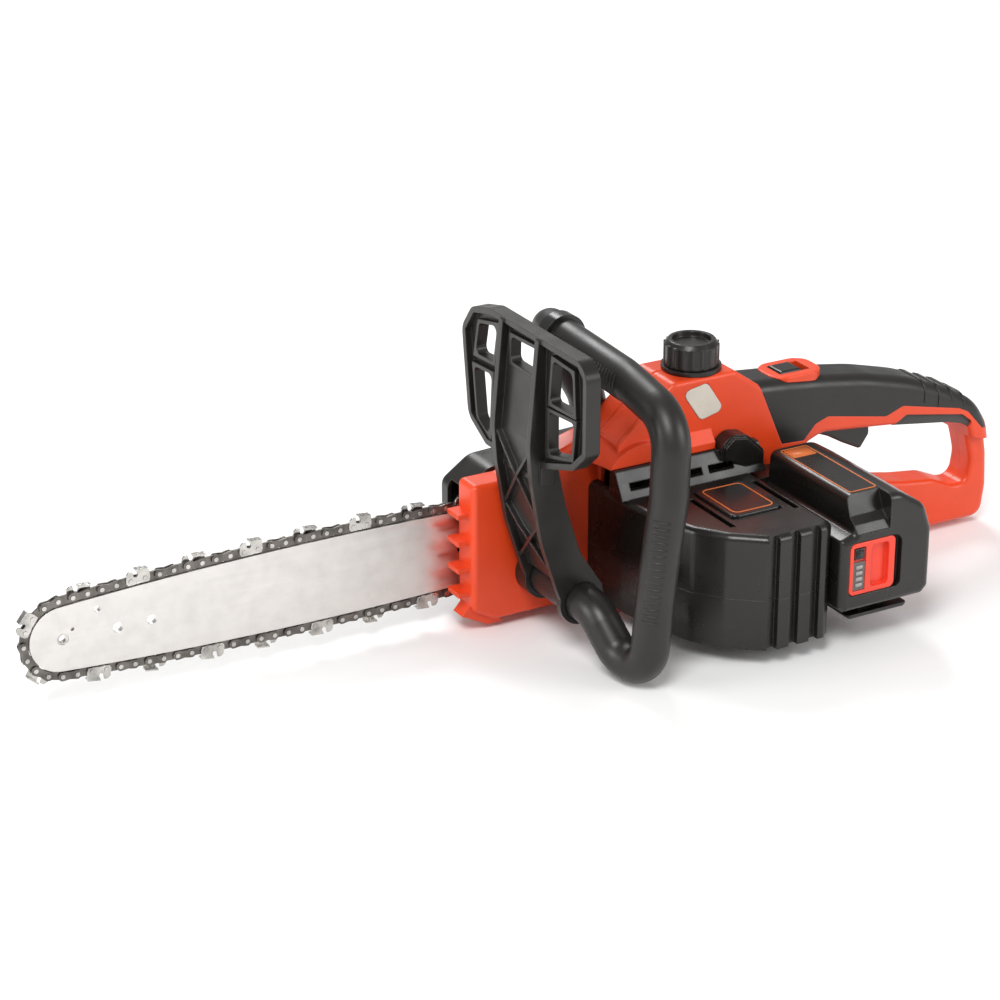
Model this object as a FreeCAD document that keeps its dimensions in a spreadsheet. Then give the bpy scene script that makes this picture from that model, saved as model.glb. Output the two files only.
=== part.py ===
import FreeCAD, Part
import math
import os
import Sketcher
from FreeCAD import Placement, Rotation, Vector

# Battery chainsaw. +X points to the rear handle, -X to the bar tip, +Y to the chain side, +Z up.
# The origin is the middle of the footprint, on the surface that the saw stands on. Millimetres.

doc = FreeCAD.newDocument("chainsaw")
sheet = doc.addObject("Spreadsheet::Sheet", "sizes")

drivingSizes = {
    # chain and bar
    "chainPitch": 9.525, "linkGroups": 11, "sprocketRivetRadius": 18.4, "chainGauge": 1.27,
    "strapThickness": 1.2, "strapEndRadius": 3.1, "rivetLift": 3.8, "rivetRadius": 1.5,
    "barNoseRadius": 21.5, "barEdgeRadius": 2800, "barThickness": 4, "barGroove": 1.55,
    "barGrooveDepth": 7.5, "barTailX": 6, "barTravel": 2, "barPlaneY": 66.5, "barHeight": 50.6,
    # drive train
    "spindleX": 26.3, "spindleRadius": 5, "gearModule": 1.25, "gearTeeth": 60, "pinionTeeth": 12,
    "gearBacklash": 0.3, "gearWidth": 6, "gearY": 46, "motorRise": 10, "motorRadius": 25.5,
    "motorFrontY": 28, "motorLength": 63, "shaftRadius": 3, "fanRadius": 19,
    # housing
    "wall": 3, "housingTop": 157, "housingRightY": 58.5, "sideWallY": 38, "tankLeftY": 14.5,
    "noseX": -53, "housingRearX": 168, "splitY": 35,
    # covers
    "coverBottom": 13, "coverTop": 91, "coverLeftY": -97, "coverFrontX": 35, "coverRearX": 134,
    "coverWall": 2.5, "coverSplit": 47.5, "ridgeHeight": 108,
    "chainCoverY": 88.5, "knobRadius": 24, "wheelRadius": 33, "studX": -14,
    # handles
    "gripHalfWidth": 18, "loopHalfWidth": 12, "gripSkin": 2.4, "handleRadius": 12.3, "handleX": 20,
                "handleLeftY": -84,
    "handleTopZ": 188,
    # guard
    "guardPivotX": -6, "guardPivotZ": 38, "guardFrontX": -38, "guardDepth": 10, "guardTopZ": 221,
    # oil
    "capX": 107.5, "capRadius": 18.4, "capHeight": 17,
    # battery
    "batteryFrontX": 134.5, "batteryRearX": 205, "batteryLeftY": -103, "batteryRightY": -4,
    "batteryBottom": 29, "batteryShoulder": 79, "batteryTop": 104.5, "batteryWall": 2.4,
    "cellRadius": 9, "cellLength": 65,
    # fits
    "fit": 0.3, "runningFit": 0.06,
}

for row, (alias, value) in enumerate(drivingSizes.items(), start=1):
    sheet.set("A%d" % row, alias)
    sheet.set("B%d" % row, str(value))
    sheet.setAlias("B%d" % row, alias)
doc.recompute()


class Size:
    """A length that remembers the sheet formula it comes from."""

    def __init__(self, value, formula):
        self.value = value
        self.formula = formula

    def __float__(self):
        return float(self.value)

    def __add__(self, other):
        return joined(self, "+", other)

    def __radd__(self, other):
        return joined(other, "+", self)

    def __sub__(self, other):
        return joined(self, "-", other)

    def __rsub__(self, other):
        return joined(other, "-", self)

    def __mul__(self, other):
        return joined(self, "*", other)

    def __rmul__(self, other):
        return joined(other, "*", self)

    def __truediv__(self, other):
        return joined(self, "/", other)

    def __neg__(self):
        return joined(0, "-", self)


def formulaOf(size):
    return size.formula if isinstance(size, Size) else "(%r)" % size


def joined(left, sign, right):
    a, b = float(left), float(right)
    value = {"+": a + b, "-": a - b, "*": a * b, "/": a / b if b else 0}[sign]
    return Size(value, "(%s %s %s)" % (formulaOf(left), sign, formulaOf(right)))


def cell(alias):
    return Size(float(sheet.get(alias)), "sizes." + alias)


(chainPitch, linkGroups, sprocketRivetRadius, chainGauge, strapThickness, strapEndRadius, rivetLift,
 rivetRadius, barNoseRadius, barEdgeRadius, barThickness, barGroove, barGrooveDepth, barTailX,
 barTravel, barPlaneY, barHeight, spindleX, spindleRadius, gearModule, gearTeeth, pinionTeeth,
 gearBacklash, gearWidth, gearY, motorRise, motorRadius, motorFrontY, motorLength, shaftRadius,
 fanRadius, wall, housingTop, housingRightY, sideWallY, tankLeftY, noseX, housingRearX, splitY,
 coverBottom, coverTop, coverLeftY, coverFrontX, coverRearX, coverWall, coverSplit,
 ridgeHeight, chainCoverY, knobRadius, wheelRadius, studX, gripHalfWidth, loopHalfWidth, gripSkin,
 handleRadius,
 handleX, handleLeftY, handleTopZ, guardPivotX, guardPivotZ, guardFrontX, guardDepth, guardTopZ,
 capX, capRadius, capHeight, batteryFrontX, batteryRearX, batteryLeftY, batteryRightY,
 batteryBottom, batteryShoulder, batteryTop, batteryWall, cellRadius, cellLength, fit,
 runningFit) = [cell(alias) for alias in drivingSizes]

pieces = []          # the sub-parts, each written to a file of its own
turns = {"X": Rotation(Vector(0, 1, 0), 90), "Y": Rotation(Vector(1, 0, 0), -90), "Z": Rotation()}


# ---------------------------------------------------------------- building helpers

def bind(item, prop, size):
    setattr(item, prop, float(size))
    if isinstance(size, Size):
        item.setExpression(prop, size.formula)


def place(item, at, turn=None):
    item.Placement = Placement(Vector(*[float(c) for c in at]), turn or Rotation())
    for letter, size in zip("xyz", at):
        if isinstance(size, Size):
            item.setExpression("Placement.Base." + letter, size.formula)
    return item


def part(name, item):
    """Makes an object a sub-part of the saw, under its own name."""
    item.Label = name
    pieces.append(item)
    return item


def block(x, y, z, size):
    item = doc.addObject("Part::Box", "block")
    for prop, length in zip(("Length", "Width", "Height"), size):
        bind(item, prop, length)
    return place(item, (x, y, z))


def rod(axis, x, y, z, radius, length):
    item = doc.addObject("Part::Cylinder", "rod")
    bind(item, "Radius", radius)
    bind(item, "Height", length)
    return place(item, (x, y, z), turns[axis])


def cone(axis, x, y, z, radius1, radius2, length):
    item = doc.addObject("Part::Cone", "cone")
    bind(item, "Radius1", radius1)
    bind(item, "Radius2", radius2)
    bind(item, "Height", length)
    return place(item, (x, y, z), turns[axis])


def fuse(items):
    item = doc.addObject("Part::MultiFuse", "fuse")
    item.Shapes = items
    return item


def cut(base, tools):
    tool = tools[0] if len(tools) == 1 else fuse(tools)
    item = doc.addObject("Part::Cut", "cut")
    item.Base = base
    item.Tool = tool
    return item


def common(items):
    item = doc.addObject("Part::MultiCommon", "common")
    item.Shapes = items
    return item


def group(items):
    """Several solids that stay separate inside one sub-part, such as a set of screws."""
    item = doc.addObject("Part::Compound", "group")
    item.Links = items
    return item


def tube(axis, x, y, z, outer, inner, length):
    margin = 1
    shift = {"X": (-margin, 0, 0), "Y": (0, -margin, 0), "Z": (0, 0, -margin)}[axis]
    bore = rod(axis, x + shift[0], y + shift[1], z + shift[2], inner, length + 2 * margin)
    return cut(rod(axis, x, y, z, outer, length), [bore])


def rounded(points):
    """Edges of a closed outline. A point is (x, y) or (x, y, corner radius)."""
    corners = [(Vector(float(p[0]), float(p[1]), 0), float(p[2]) if len(p) > 2 else 0) for p in points]
    spans = []
    for index, (corner, radius) in enumerate(corners):
        before = corners[index - 1][0]
        after = corners[(index + 1) % len(corners)][0]
        if not radius:
            spans.append((corner, None, corner))
            continue
        to_before = (before - corner).normalize()
        to_after = (after - corner).normalize()
        half = to_before.getAngle(to_after) / 2
        reach = radius / math.tan(half)
        middle = (to_before + to_after).normalize()
        nearest = corner + middle * (radius / math.sin(half) - radius)
        spans.append((corner + to_before * reach, nearest, corner + to_after * reach))
    edges = []
    for index, (start, nearest, end) in enumerate(spans):
        if nearest is not None:
            edges.append(Part.Arc(start, nearest, end))
        following = spans[(index + 1) % len(spans)][0]
        if end.distanceToPoint(following) > 1e-6:
            edges.append(Part.LineSegment(end, following))
    return edges


def drawOutline(sketch, points):
    """Draws one closed outline. Sharp outlines are fully constrained, with formulas from the sheet."""
    first = sketch.GeometryCount
    for edge in rounded(points):
        sketch.addGeometry(edge, False)
    if any(len(p) > 2 for p in points):
        return
    count = len(points)
    for index, point in enumerate(points):
        this, last = first + index, first + (index - 1) % count
        sketch.addConstraint(Sketcher.Constraint("Coincident", last, 2, this, 1))
        for kind, size in zip(("DistanceX", "DistanceY"), point):
            number = sketch.addConstraint(Sketcher.Constraint(kind, -1, 1, this, 1, float(size)))
            if isinstance(size, Size):
                sketch.setExpression("Constraints[%d]" % number, size.formula)


def newBody(outlines, plane="XY_Plane"):
    body = doc.addObject("PartDesign::Body", "body")
    sketch = body.newObject("Sketcher::SketchObject", "outline")
    support = [item for item in body.Origin.OriginFeatures if item.Role == plane][0]
    sketch.AttachmentSupport = [(support, "")]
    sketch.MapMode = "FlatFace"
    for points in outlines:
        drawOutline(sketch, points)
    return body, sketch


def prism(plane, at, depth, outline, holes=()):
    """A padded outline: plane XY grows along +Z from at, XZ along +Y and YZ along +X."""
    body, sketch = newBody([outline] + list(holes))
    pad = body.newObject("PartDesign::Pad", "pad")
    pad.Profile = sketch
    bind(pad, "Length", depth)
    if plane == "XY":
        return place(body, (0, 0, at))
    if plane == "XZ":
        return place(body, (0, at + depth, 0), Rotation(Vector(1, 0, 0), 90))
    return place(body, (at, 0, 0), Rotation(Vector(1, 1, 1), 120))


def turned(axis, x, y, z, profile):
    """A revolved profile of (radius, height) points, standing on (x, y, z) along the axis."""
    body, sketch = newBody([profile])
    spin = body.newObject("PartDesign::Revolution", "revolution")
    spin.Profile = sketch
    spin.ReferenceAxis = (sketch, ["V_Axis"])
    spin.Angle = 360
    turn = {"X": Rotation(Vector(0, 0, 1), -90), "Y": Rotation(), "Z": Rotation(Vector(1, 0, 0), 90)}
    return place(body, (x, y, z), turn[axis])


def softened(item, radius, wanted):
    """Rounds the edges of an item that the test picks."""
    doc.recompute()
    chosen = [(number, float(radius), float(radius))
              for number, edge in enumerate(item.Shape.Edges, start=1) if wanted(edge)]
    fillet = doc.addObject("Part::Fillet", "fillet")
    fillet.Base = item
    fillet.Edges = chosen
    return fillet


def free(name, shape):
    """A sub-part whose shape is worked out here from the sheet's values."""
    item = doc.addObject("Part::Feature", name)
    item.Shape = shape
    return part(name, item)


def flat(edge, letter, value, tolerance=0.05):
    """True where an edge lies at one height along an axis."""
    box = edge.BoundBox
    low, high = getattr(box, letter + "Min"), getattr(box, letter + "Max")
    return abs(low - float(value)) < tolerance and abs(high - float(value)) < tolerance


# ---------------------------------------------------------------- bar and chain

def arcSpan(centre, radius, fromAngle, toAngle):
    """A clockwise stretch of circle in the bar's plane, as (length, place along it)."""
    length = radius * (fromAngle - toAngle)

    def at(s):
        angle = fromAngle - s / radius
        return (centre[0] + radius * math.cos(angle), centre[1] + radius * math.sin(angle))
    return length, at


def lineSpan(start, end):
    length = math.dist(start, end)

    def at(s):
        share = s / length
        return (start[0] + (end[0] - start[0]) * share, start[1] + (end[1] - start[1]) * share)
    return length, at


railBendX = -10.0                   # where the rails turn down towards the sprocket
railBendRadius = 55.0


def railSpans(noseCentreX, lift):
    """The upper half of the rail, or of the chain's rivet line above it, from the nose tip back."""
    edge = float(barEdgeRadius) + lift
    nose = float(barNoseRadius) + lift
    bend = railBendRadius + lift
    halfLength = 183.0
    sink = math.sqrt((edge - nose) ** 2 - halfLength ** 2)
    edgeCentre = (noseCentreX + halfLength, -sink)
    joint = math.atan2(sink, -halfLength)
    bendAngle = math.acos((railBendX - edgeCentre[0]) / edge)
    bendCentre = tuple(c + (edge - bend) * f for c, f in
                       zip(edgeCentre, (math.cos(bendAngle), math.sin(bendAngle))))
    wheel = float(sprocketRivetRadius) - float(rivetLift) + lift
    wheelCentre = (float(spindleX), 0.0)
    away = math.dist(bendCentre, wheelCentre)
    slope = math.atan2(wheelCentre[1] - bendCentre[1], wheelCentre[0] - bendCentre[0])
    leave = slope + math.acos((bend - wheel) / away)
    touch = [(c[0] + r * math.cos(leave), c[1] + r * math.sin(leave))
             for c, r in ((bendCentre, bend), (wheelCentre, wheel))]
    return [arcSpan((noseCentreX, 0.0), nose, math.pi, joint),
            arcSpan(edgeCentre, edge, joint, bendAngle),
            arcSpan(bendCentre, bend, bendAngle, leave),
            lineSpan(*touch),
            arcSpan(wheelCentre, wheel, leave, 0.0)]


def alongLoop(spans, s):
    """A point of the closed loop, at the distance s from the nose tip."""
    half = sum(length for length, at in spans)
    s = s % (2 * half)
    mirror = s > half
    if mirror:
        s = 2 * half - s
    for length, at in spans:
        if s <= length:
            break
        s -= length
    x, z = at(min(s, length))
    return (x, -z if mirror else z)


def rivetPlaces(noseCentreX):
    """Steps the chain's pitch round the loop. Returns the rivets and what is left to close it."""
    spans = railSpans(noseCentreX, float(rivetLift))
    whole = 2 * sum(length for length, at in spans)
    count = int(float(linkGroups)) * 8
    places, s, pitch = [], 0.0, float(chainPitch)
    for _ in range(count):
        here = alongLoop(spans, s)
        places.append(here)
        low, high = pitch * 0.9, pitch * 1.2
        for _ in range(34):
            middle = (low + high) / 2
            if math.dist(here, alongLoop(spans, s + middle)) < pitch:
                low = middle
            else:
                high = middle
        s += low
    return places, whole - s


def closingNose():
    """The nose centre that lets a whole number of links close the loop."""
    near, far = -150.0, -700.0
    for _ in range(40):
        middle = (near + far) / 2
        if rivetPlaces(middle)[1] < 0:
            near = middle
        else:
            far = middle
    return (near + far) / 2


noseCentreX = closingNose()
rivets = rivetPlaces(noseCentreX)[0]
print("nose centre at", round(noseCentreX, 2), "with", len(rivets) // 2, "drive links")


def plate(points, y, thickness):
    """A flat piece in the bar's direction, from (x, z) points, growing along +Y from y."""
    corners = [Vector(px, float(y), pz) for px, pz in points]
    face = Part.Face(Part.makePolygon(corners + corners[:1]))
    return face.extrude(Vector(0, float(thickness), 0))


def pin(x, z, y, radius, length):
    return Part.makeCylinder(float(radius), float(length), Vector(x, float(y), z), Vector(0, 1, 0))


def railOutline(lift, tail):
    spans = railSpans(noseCentreX, lift)
    upper = []
    for index, steps in enumerate((14, 16, 5)):
        length, at = spans[index]
        upper += [at(length * step / steps) for step in range(steps + (index == 2))]
    upper = [p for p in upper if p[0] < tail - 1]
    last, before = upper[-1], upper[-2]
    drop = (last[1] - before[1]) / (last[0] - before[0])
    upper.append((tail, last[1] + drop * (tail - last[0])))
    lower = [(x, -z) for x, z in reversed(upper[1:])]
    return [(x, z + float(barHeight)) for x, z in upper + lower]


def guideBar():
    tail = float(barTailX)
    left = barPlaneY - barThickness / 2
    body = plate(railOutline(0, tail), left, barThickness)
    groove = plate(railOutline(3, tail + 20), barPlaneY - barGroove / 2, barGroove)
    core = plate(railOutline(-float(barGrooveDepth), tail - float(barGrooveDepth)),
                 barPlaneY - barGroove, barGroove * 2)
    body = body.cut(groove.cut(core))
    nose = float(barNoseRadius)
    z = float(barHeight)
    holes = [pin(noseCentreX, z, left - 1, nose - 4, 6).common(
                 pin(noseCentreX, z, barPlaneY - barGroove / 2, nose, barGroove)),
             pin(noseCentreX, z, left - 1, noseBore, 8),
             pin(noseCentreX + 6.5, z + 5.4, left - 1, 1.2, 8),
             pin(noseCentreX + 23.4, z + 15, left - 1, 2.2, 8),
             pin(noseCentreX + 36, z - 0.4, left - 1, 3.45, 8),
             pin(noseCentreX + 58.6, z - 0.4, left - 1, 3.3, 8)]
    slotHalf = float(studRadius) + 0.3
    slotFront = float(studX) - 30 - float(barTravel)
    slot = Part.makeBox(tail + 10 - slotFront, 8, 2 * slotHalf,
                        Vector(slotFront, float(left) - 1, z - slotHalf))
    holes += [slot, pin(slotFront, z, left - 1, slotHalf, 8)]
    holes += [pin(tensionPinX, z + side * 15, left - 1, float(tensionPinRadius) + 0.1, 8) for side in (-1, 1)]
    for hole in holes:
        body = body.cut(hole)
    return body.removeSplitter()


studRadius = 4.0
noseBore = 3.75
tensionPinX = float(studX) - 12.0
tensionPinRadius = 3.0

free("guide_bar", guideBar())

# The nose sprocket's teeth are cut back, so that it turns clear of the chain's tangs.
noseStar = []
for tooth in range(9):
    for step, radius in ((-0.3, 13.0), (-0.12, 15.2), (0.12, 15.2), (0.3, 13.0)):
        angle = (tooth + step) * math.tau / 9
        noseStar.append((noseCentreX + radius * math.cos(angle),
                         float(barHeight) + radius * math.sin(angle)))
starWheel = plate(noseStar, barPlaneY - barGroove / 2 + 0.15, barGroove - 0.3)
bush = pin(noseCentreX, float(barHeight), barPlaneY - barThickness / 2 + 0.3, noseBore - 0.06,
           barThickness - 0.6)
boreHole = pin(noseCentreX, float(barHeight), barPlaneY - 5, 2.4, 10)
free("nose_sprocket", starWheel.fuse(bush).cut(boreHole).removeSplitter())


def linkPlate(back, front, y, thickness, points):
    """Places a plate, drawn about the middle of two rivets with +z outwards, onto the chain."""
    middle = ((back[0] + front[0]) / 2, (back[1] + front[1]) / 2)
    run = ((front[0] - back[0]) / float(chainPitch), (front[1] - back[1]) / float(chainPitch))
    placed = [(middle[0] + run[0] * px - run[1] * pz,
               float(barHeight) + middle[1] + run[1] * px + run[0] * pz)
              for px, pz in points]
    return plate(placed, y, thickness)


halfPitch = float(chainPitch) / 2
endRadius = float(strapEndRadius)


def dogBone(waist, radius):
    """Half-round ends about the two rivets, joined by a waist."""
    right = [(halfPitch + radius * math.cos(a), radius * math.sin(a))
             for a in (math.radians(d) for d in (-110, -60, -15, 30, 75, 110))]
    left = [(-px, pz) for px, pz in reversed(right)]
    return right + [(0, waist)] + left + [(0, -waist)]


strapShape = dogBone(2.3, endRadius)
driveShape = [(halfPitch + 2.6, -1.2), (halfPitch + 2.6, 1.2), (halfPitch + 1, 2.6), (-halfPitch - 1, 2.6),
              (-halfPitch - 2.6, 1.2), (-halfPitch - 2.6, -1.2), (-halfPitch - 0.6, -2.8), (-2.2, -7.2),
              (-0.4, -8.6), (0.9, -7.6), (1.6, -5), (halfPitch + 0.6, -2.8)]
cutterShape = [(halfPitch + endRadius, -1), (halfPitch + endRadius, 1.2), (halfPitch + 2.4, 4.6),
               (halfPitch + 0.9, 6.2), (halfPitch - 1.4, 6.3), (halfPitch - 2.1, 2.4), (0.6, 1.9),
               (-0.3, 3.2), (0.9, 6.9), (-halfPitch - 2.8, 6.1), (-halfPitch - 3.3, 0.4),
               (-halfPitch - 2.4, -2.6), (-halfPitch + 1.8, -2.6), (0, -2.2), (halfPitch - 1.8, -2.7),
               (halfPitch + 1.9, -2.6)]
cutterTop = [(0.9, 6.9), (0.7, 5.8), (-halfPitch - 2.8, 5.1), (-halfPitch - 2.8, 6.1)]
innerGap = float(chainGauge) / 2 + 0.05
drives, straps, leftCutters, rightCutters = [], [], [], []
for index, back in enumerate(rivets):
    front = rivets[(index + 1) % len(rivets)]
    ahead, behind = back, front             # the chain runs towards the nose along the top rail
    if index % 2 == 0:
        drives.append(linkPlate(ahead, behind, barPlaneY - chainGauge / 2, chainGauge,
                                [(-px, pz) for px, pz in driveShape]))
        continue
    side = {1: "left", 5: "right"}.get(index % 8)
    for name, inner in (("left", barPlaneY - innerGap - strapThickness), ("right", barPlaneY + innerGap)):
        if side != name:
            straps.append(linkPlate(ahead, behind, inner, strapThickness, strapShape))
            continue
        topY = barPlaneY - innerGap - strapThickness if name == "left" else barPlaneY + innerGap - 3.4
        base = linkPlate(ahead, behind, inner, strapThickness, [(-px, pz) for px, pz in cutterShape])
        roof = linkPlate(ahead, behind, topY, strapThickness + 3.4, [(-px, pz) for px, pz in cutterTop])
        (leftCutters if name == "left" else rightCutters).append(base.fuse(roof).removeSplitter())


def bored(links, near):
    """Cuts each link's own rivet holes."""
    done = []
    for link in links:
        box = link.BoundBox
        for x, z in near:
            z = z + float(barHeight)
            if box.XMin < x < box.XMax and box.ZMin < z < box.ZMax:
                hole = pin(x, z, barPlaneY - 5, float(rivetRadius) + 0.05, 10)
                if link.distToShape(hole)[0] < 0.01:
                    link = link.cut(hole)
        done.append(link)
    return done


rivetSolids = []
for x, z in rivets:
    z = z + float(barHeight)
    reach = innerGap + float(strapThickness)
    shank = pin(x, z, barPlaneY - reach - 0.4, rivetRadius, 2 * reach + 0.8)
    rivetSolids.append(shank)
free("chain_drive_links", Part.makeCompound(bored(drives, rivets)))
free("chain_tie_straps", Part.makeCompound(bored(straps, rivets)))
free("chain_left_cutters", Part.makeCompound(bored(leftCutters, rivets)))
free("chain_right_cutters", Part.makeCompound(bored(rightCutters, rivets)))
free("chain_rivets", Part.makeCompound(rivetSolids))


# ---------------------------------------------------------------- drive train

def gearShape(x, z, y, width, teeth, phase):
    """A spur gear with involute flanks, thinned by the backlash, with its first tooth at phase."""
    module, count = float(gearModule), int(float(teeth))
    pitchRadius = module * count / 2
    baseRadius = pitchRadius * math.cos(math.radians(20))
    rootRadius, tipRadius = pitchRadius - 1.3 * module, pitchRadius + 0.9 * module
    involute = math.tan(math.radians(20)) - math.radians(20)
    halfTooth = math.pi / (2 * count) - float(gearBacklash) / (2 * pitchRadius)
    flank = []
    for radius in (max(baseRadius, rootRadius), pitchRadius, (pitchRadius + tipRadius) / 2, tipRadius):
        opening = math.acos(min(1.0, baseRadius / radius))
        flank.append((radius, halfTooth + involute - (math.tan(opening) - opening)))
    flank.insert(0, (rootRadius, flank[0][1]))
    corners = []
    for tooth in range(count):
        middle = phase + tooth * math.tau / count
        for radius, half in flank:
            corners.append((radius, middle - half))
        for radius, half in reversed(flank):
            corners.append((radius, middle + half))
    return plate([(x + r * math.cos(a), z + r * math.sin(a)) for r, a in corners], y, width)


centreDistance = float(gearModule * (gearTeeth + pinionTeeth)) / 2
motorX = float(spindleX) + math.sqrt(centreDistance ** 2 - float(motorRise) ** 2)
motorZ = float(barHeight + motorRise)
meshAngle = math.atan2(float(motorRise), motorX - float(spindleX))
gearPhase = meshAngle
pinionPhase = meshAngle + math.pi + math.pi / float(pinionTeeth)

outputGear = gearShape(float(spindleX), float(barHeight), gearY, gearWidth, gearTeeth, gearPhase)
for spoke in range(6):
    angle = gearPhase + (spoke + 0.5) * math.tau / 6
    outputGear = outputGear.cut(pin(float(spindleX) + 22 * math.cos(angle),
                                    float(barHeight) + 22 * math.sin(angle), gearY - 1, 6.5, 10))
free("output_gear", outputGear.cut(pin(float(spindleX), float(barHeight), gearY - 1, spindleRadius, 10)))

bearingInnerY = sideWallY + wall + 0.2
bearingOuterY = housingRightY - 5.6
spindleStart = bearingInnerY
spindleEnd = barPlaneY + 6.5
part("output_shaft", rod("Y", spindleX, spindleStart, barHeight, spindleRadius, spindleEnd - spindleStart))


def bearing(x, y, z, outer, inner, width):
    """Two races and a ring of balls that touches neither."""
    race = (outer - inner) * 0.28
    parts = [tube("Y", x, y, z, outer, outer - race, width), tube("Y", x, y, z, inner + race, inner, width)]
    middle = (outer + inner) / 2
    for ball in range(8):
        angle = ball * math.tau / 8
        item = doc.addObject("Part::Sphere", "ball")
        bind(item, "Radius", (outer - inner) * 0.2)
        parts.append(place(item, (x + middle * math.cos(angle), y + width / 2, z + middle * math.sin(angle))))
    return parts


bearingOuter = 11.0
motorBearingOuter = 8.0
part("spindle_bearings", group(bearing(spindleX, bearingInnerY, barHeight, bearingOuter,
                                       spindleRadius + runningFit, 4)
                               + bearing(spindleX, bearingOuterY, barHeight, bearingOuter,
                                         spindleRadius + runningFit, 5)))

sprocketHub = tube("Y", spindleX, housingRightY + 0.6, barHeight, 14, spindleRadius, 4.6)
toothRadius = sprocketRivetRadius - 9.4
star = []
for tooth in range(6):
    for step, share in ((-0.34, 0.86), (-0.16, 1.0), (0.16, 1.0), (0.34, 0.86)):
        angle = (tooth + step) * math.tau / 6
        star.append((spindleX + toothRadius * share * math.cos(angle),
                     barHeight + toothRadius * share * math.sin(angle)))
starWheel = prism("XZ", barPlaneY - 1.5, 3, star)
starBore = rod("Y", spindleX, barPlaneY - 5, barHeight, spindleRadius, 10)
rim = tube("Y", spindleX, barPlaneY + 2.4, barHeight, 12, spindleRadius, 1.6)
starNeck = tube("Y", spindleX, housingRightY + 5.1, barHeight, 7.4, spindleRadius,
                barPlaneY + 2.5 - (housingRightY + 5.1))
part("drive_sprocket", fuse([sprocketHub, cut(starWheel, [starBore]), rim, starNeck]))

motorBackY = motorFrontY - motorLength
pinionLength = gearWidth + 2
pinion = gearShape(motorX, motorZ, gearY - 1, pinionLength, pinionTeeth, pinionPhase)
rotorStart, rotorEnd = motorBackY - 17, gearY + gearWidth + 2
free("rotor_shaft", pinion.fuse(pin(motorX, motorZ, rotorStart, shaftRadius,
                                     float(rotorEnd - rotorStart))).removeSplitter())
rotorRadius = motorRadius - 8.5
lamination = tube("Y", motorX, motorBackY + 12, motorZ, rotorRadius, shaftRadius, motorLength - 26)
slots = []
for slot in range(8):
    angle = slot * math.tau / 8
    slots.append(rod("Y", motorX + 14 * math.cos(angle), motorBackY + 11, motorZ + 14 * math.sin(angle), 2.6,
                     motorLength - 24))
part("rotor_core", cut(lamination, slots))

fanHub = tube("Y", motorX, motorBackY - 13, motorZ, 7, shaftRadius, 9)
fanDisc = tube("Y", motorX, motorBackY - 5.5, motorZ, fanRadius, 6, 1.5)
blades = []
for blade in range(9):
    item = block(-0.8, 0, 6.5, (1.6, 7.6, fanRadius - 7.5))
    turn = Rotation(Vector(0, 1, 0), blade * 40)
    offset = turn.multVec(Vector(-0.8, 0, 6.5))
    item.Placement = Placement(Vector(motorX, float(motorBackY) - 13, motorZ) + offset, turn)
    blades.append(item)
part("cooling_fan", fuse([fanHub, fanDisc] + blades))

can = tube("Y", motorX, motorBackY, motorZ, motorRadius, motorRadius - 2, motorLength)
backPlate = tube("Y", motorX, motorBackY, motorZ, motorRadius - 1, motorBearingOuter, 3)
part("motor_can", fuse([can, backPlate]))
magnets = []
for side in (0, 180):
    ringItem = tube("Y", motorX, motorBackY + 8, motorZ, motorRadius - 2.1, motorRadius - 7.5,
                    motorLength - 20)
    wedge = block(-18, 0, 0, (36, motorLength - 10, motorRadius))
    turn = Rotation(Vector(0, 1, 0), side)
    wedge.Placement = Placement(Vector(motorX, float(motorBackY) + 4, motorZ)
                                + turn.multVec(Vector(-18, 0, 0)), turn)
    magnets.append(common([ringItem, wedge]))
part("motor_magnets", group(magnets))
part("motor_bearings", group(bearing(motorX, motorBackY - 0.6, motorZ, motorBearingOuter - 0.05,
                                     shaftRadius + runningFit, 4)
                             + bearing(motorX, motorFrontY + 0.2, motorZ, motorBearingOuter,
                                       shaftRadius + runningFit, 4)))
plateOutline = [(motorX - 26.8, motorZ - 26, 5), (motorX + 29, motorZ - 26, 5),
                (motorX + 29, motorZ + 26, 5), (motorX - 26.8, motorZ + 26, 5)]
mountPlate = cut(prism("XZ", motorFrontY + 0.1, 4, plateOutline),
                 [rod("Y", motorX, motorFrontY - 1, motorZ, motorBearingOuter + 0.05, 10)])
part("motor_mount", mountPlate)


# ---------------------------------------------------------------- housing halves

screwRadius, screwHeadRadius, screwHeadHeight = 1.6, 3.2, 2.6


def screw(x, y, z, length):
    """A case screw, driven along -Y from a head whose outer face is at y."""
    shank = rod("Y", x, y - length, z, screwRadius, length)
    head = rod("Y", x, y - screwHeadHeight, z, screwHeadRadius, screwHeadHeight)
    drive = rod("Y", x, y - 1.4, z, 1.3, 2)
    return cut(fuse([shank, head]), [drive])


def coverScrew(x, y):
    """A case screw, driven upwards through the floor of the motor cover."""
    shank = rod("Z", x, y, coverBottom + 0.4, screwRadius, 44)
    head = rod("Z", x, y, coverBottom + 0.4, screwHeadRadius, screwHeadHeight)
    drive = rod("Z", x, y, coverBottom - 0.2, 1.3, 2)
    return cut(fuse([shank, head]), [drive])


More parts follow.
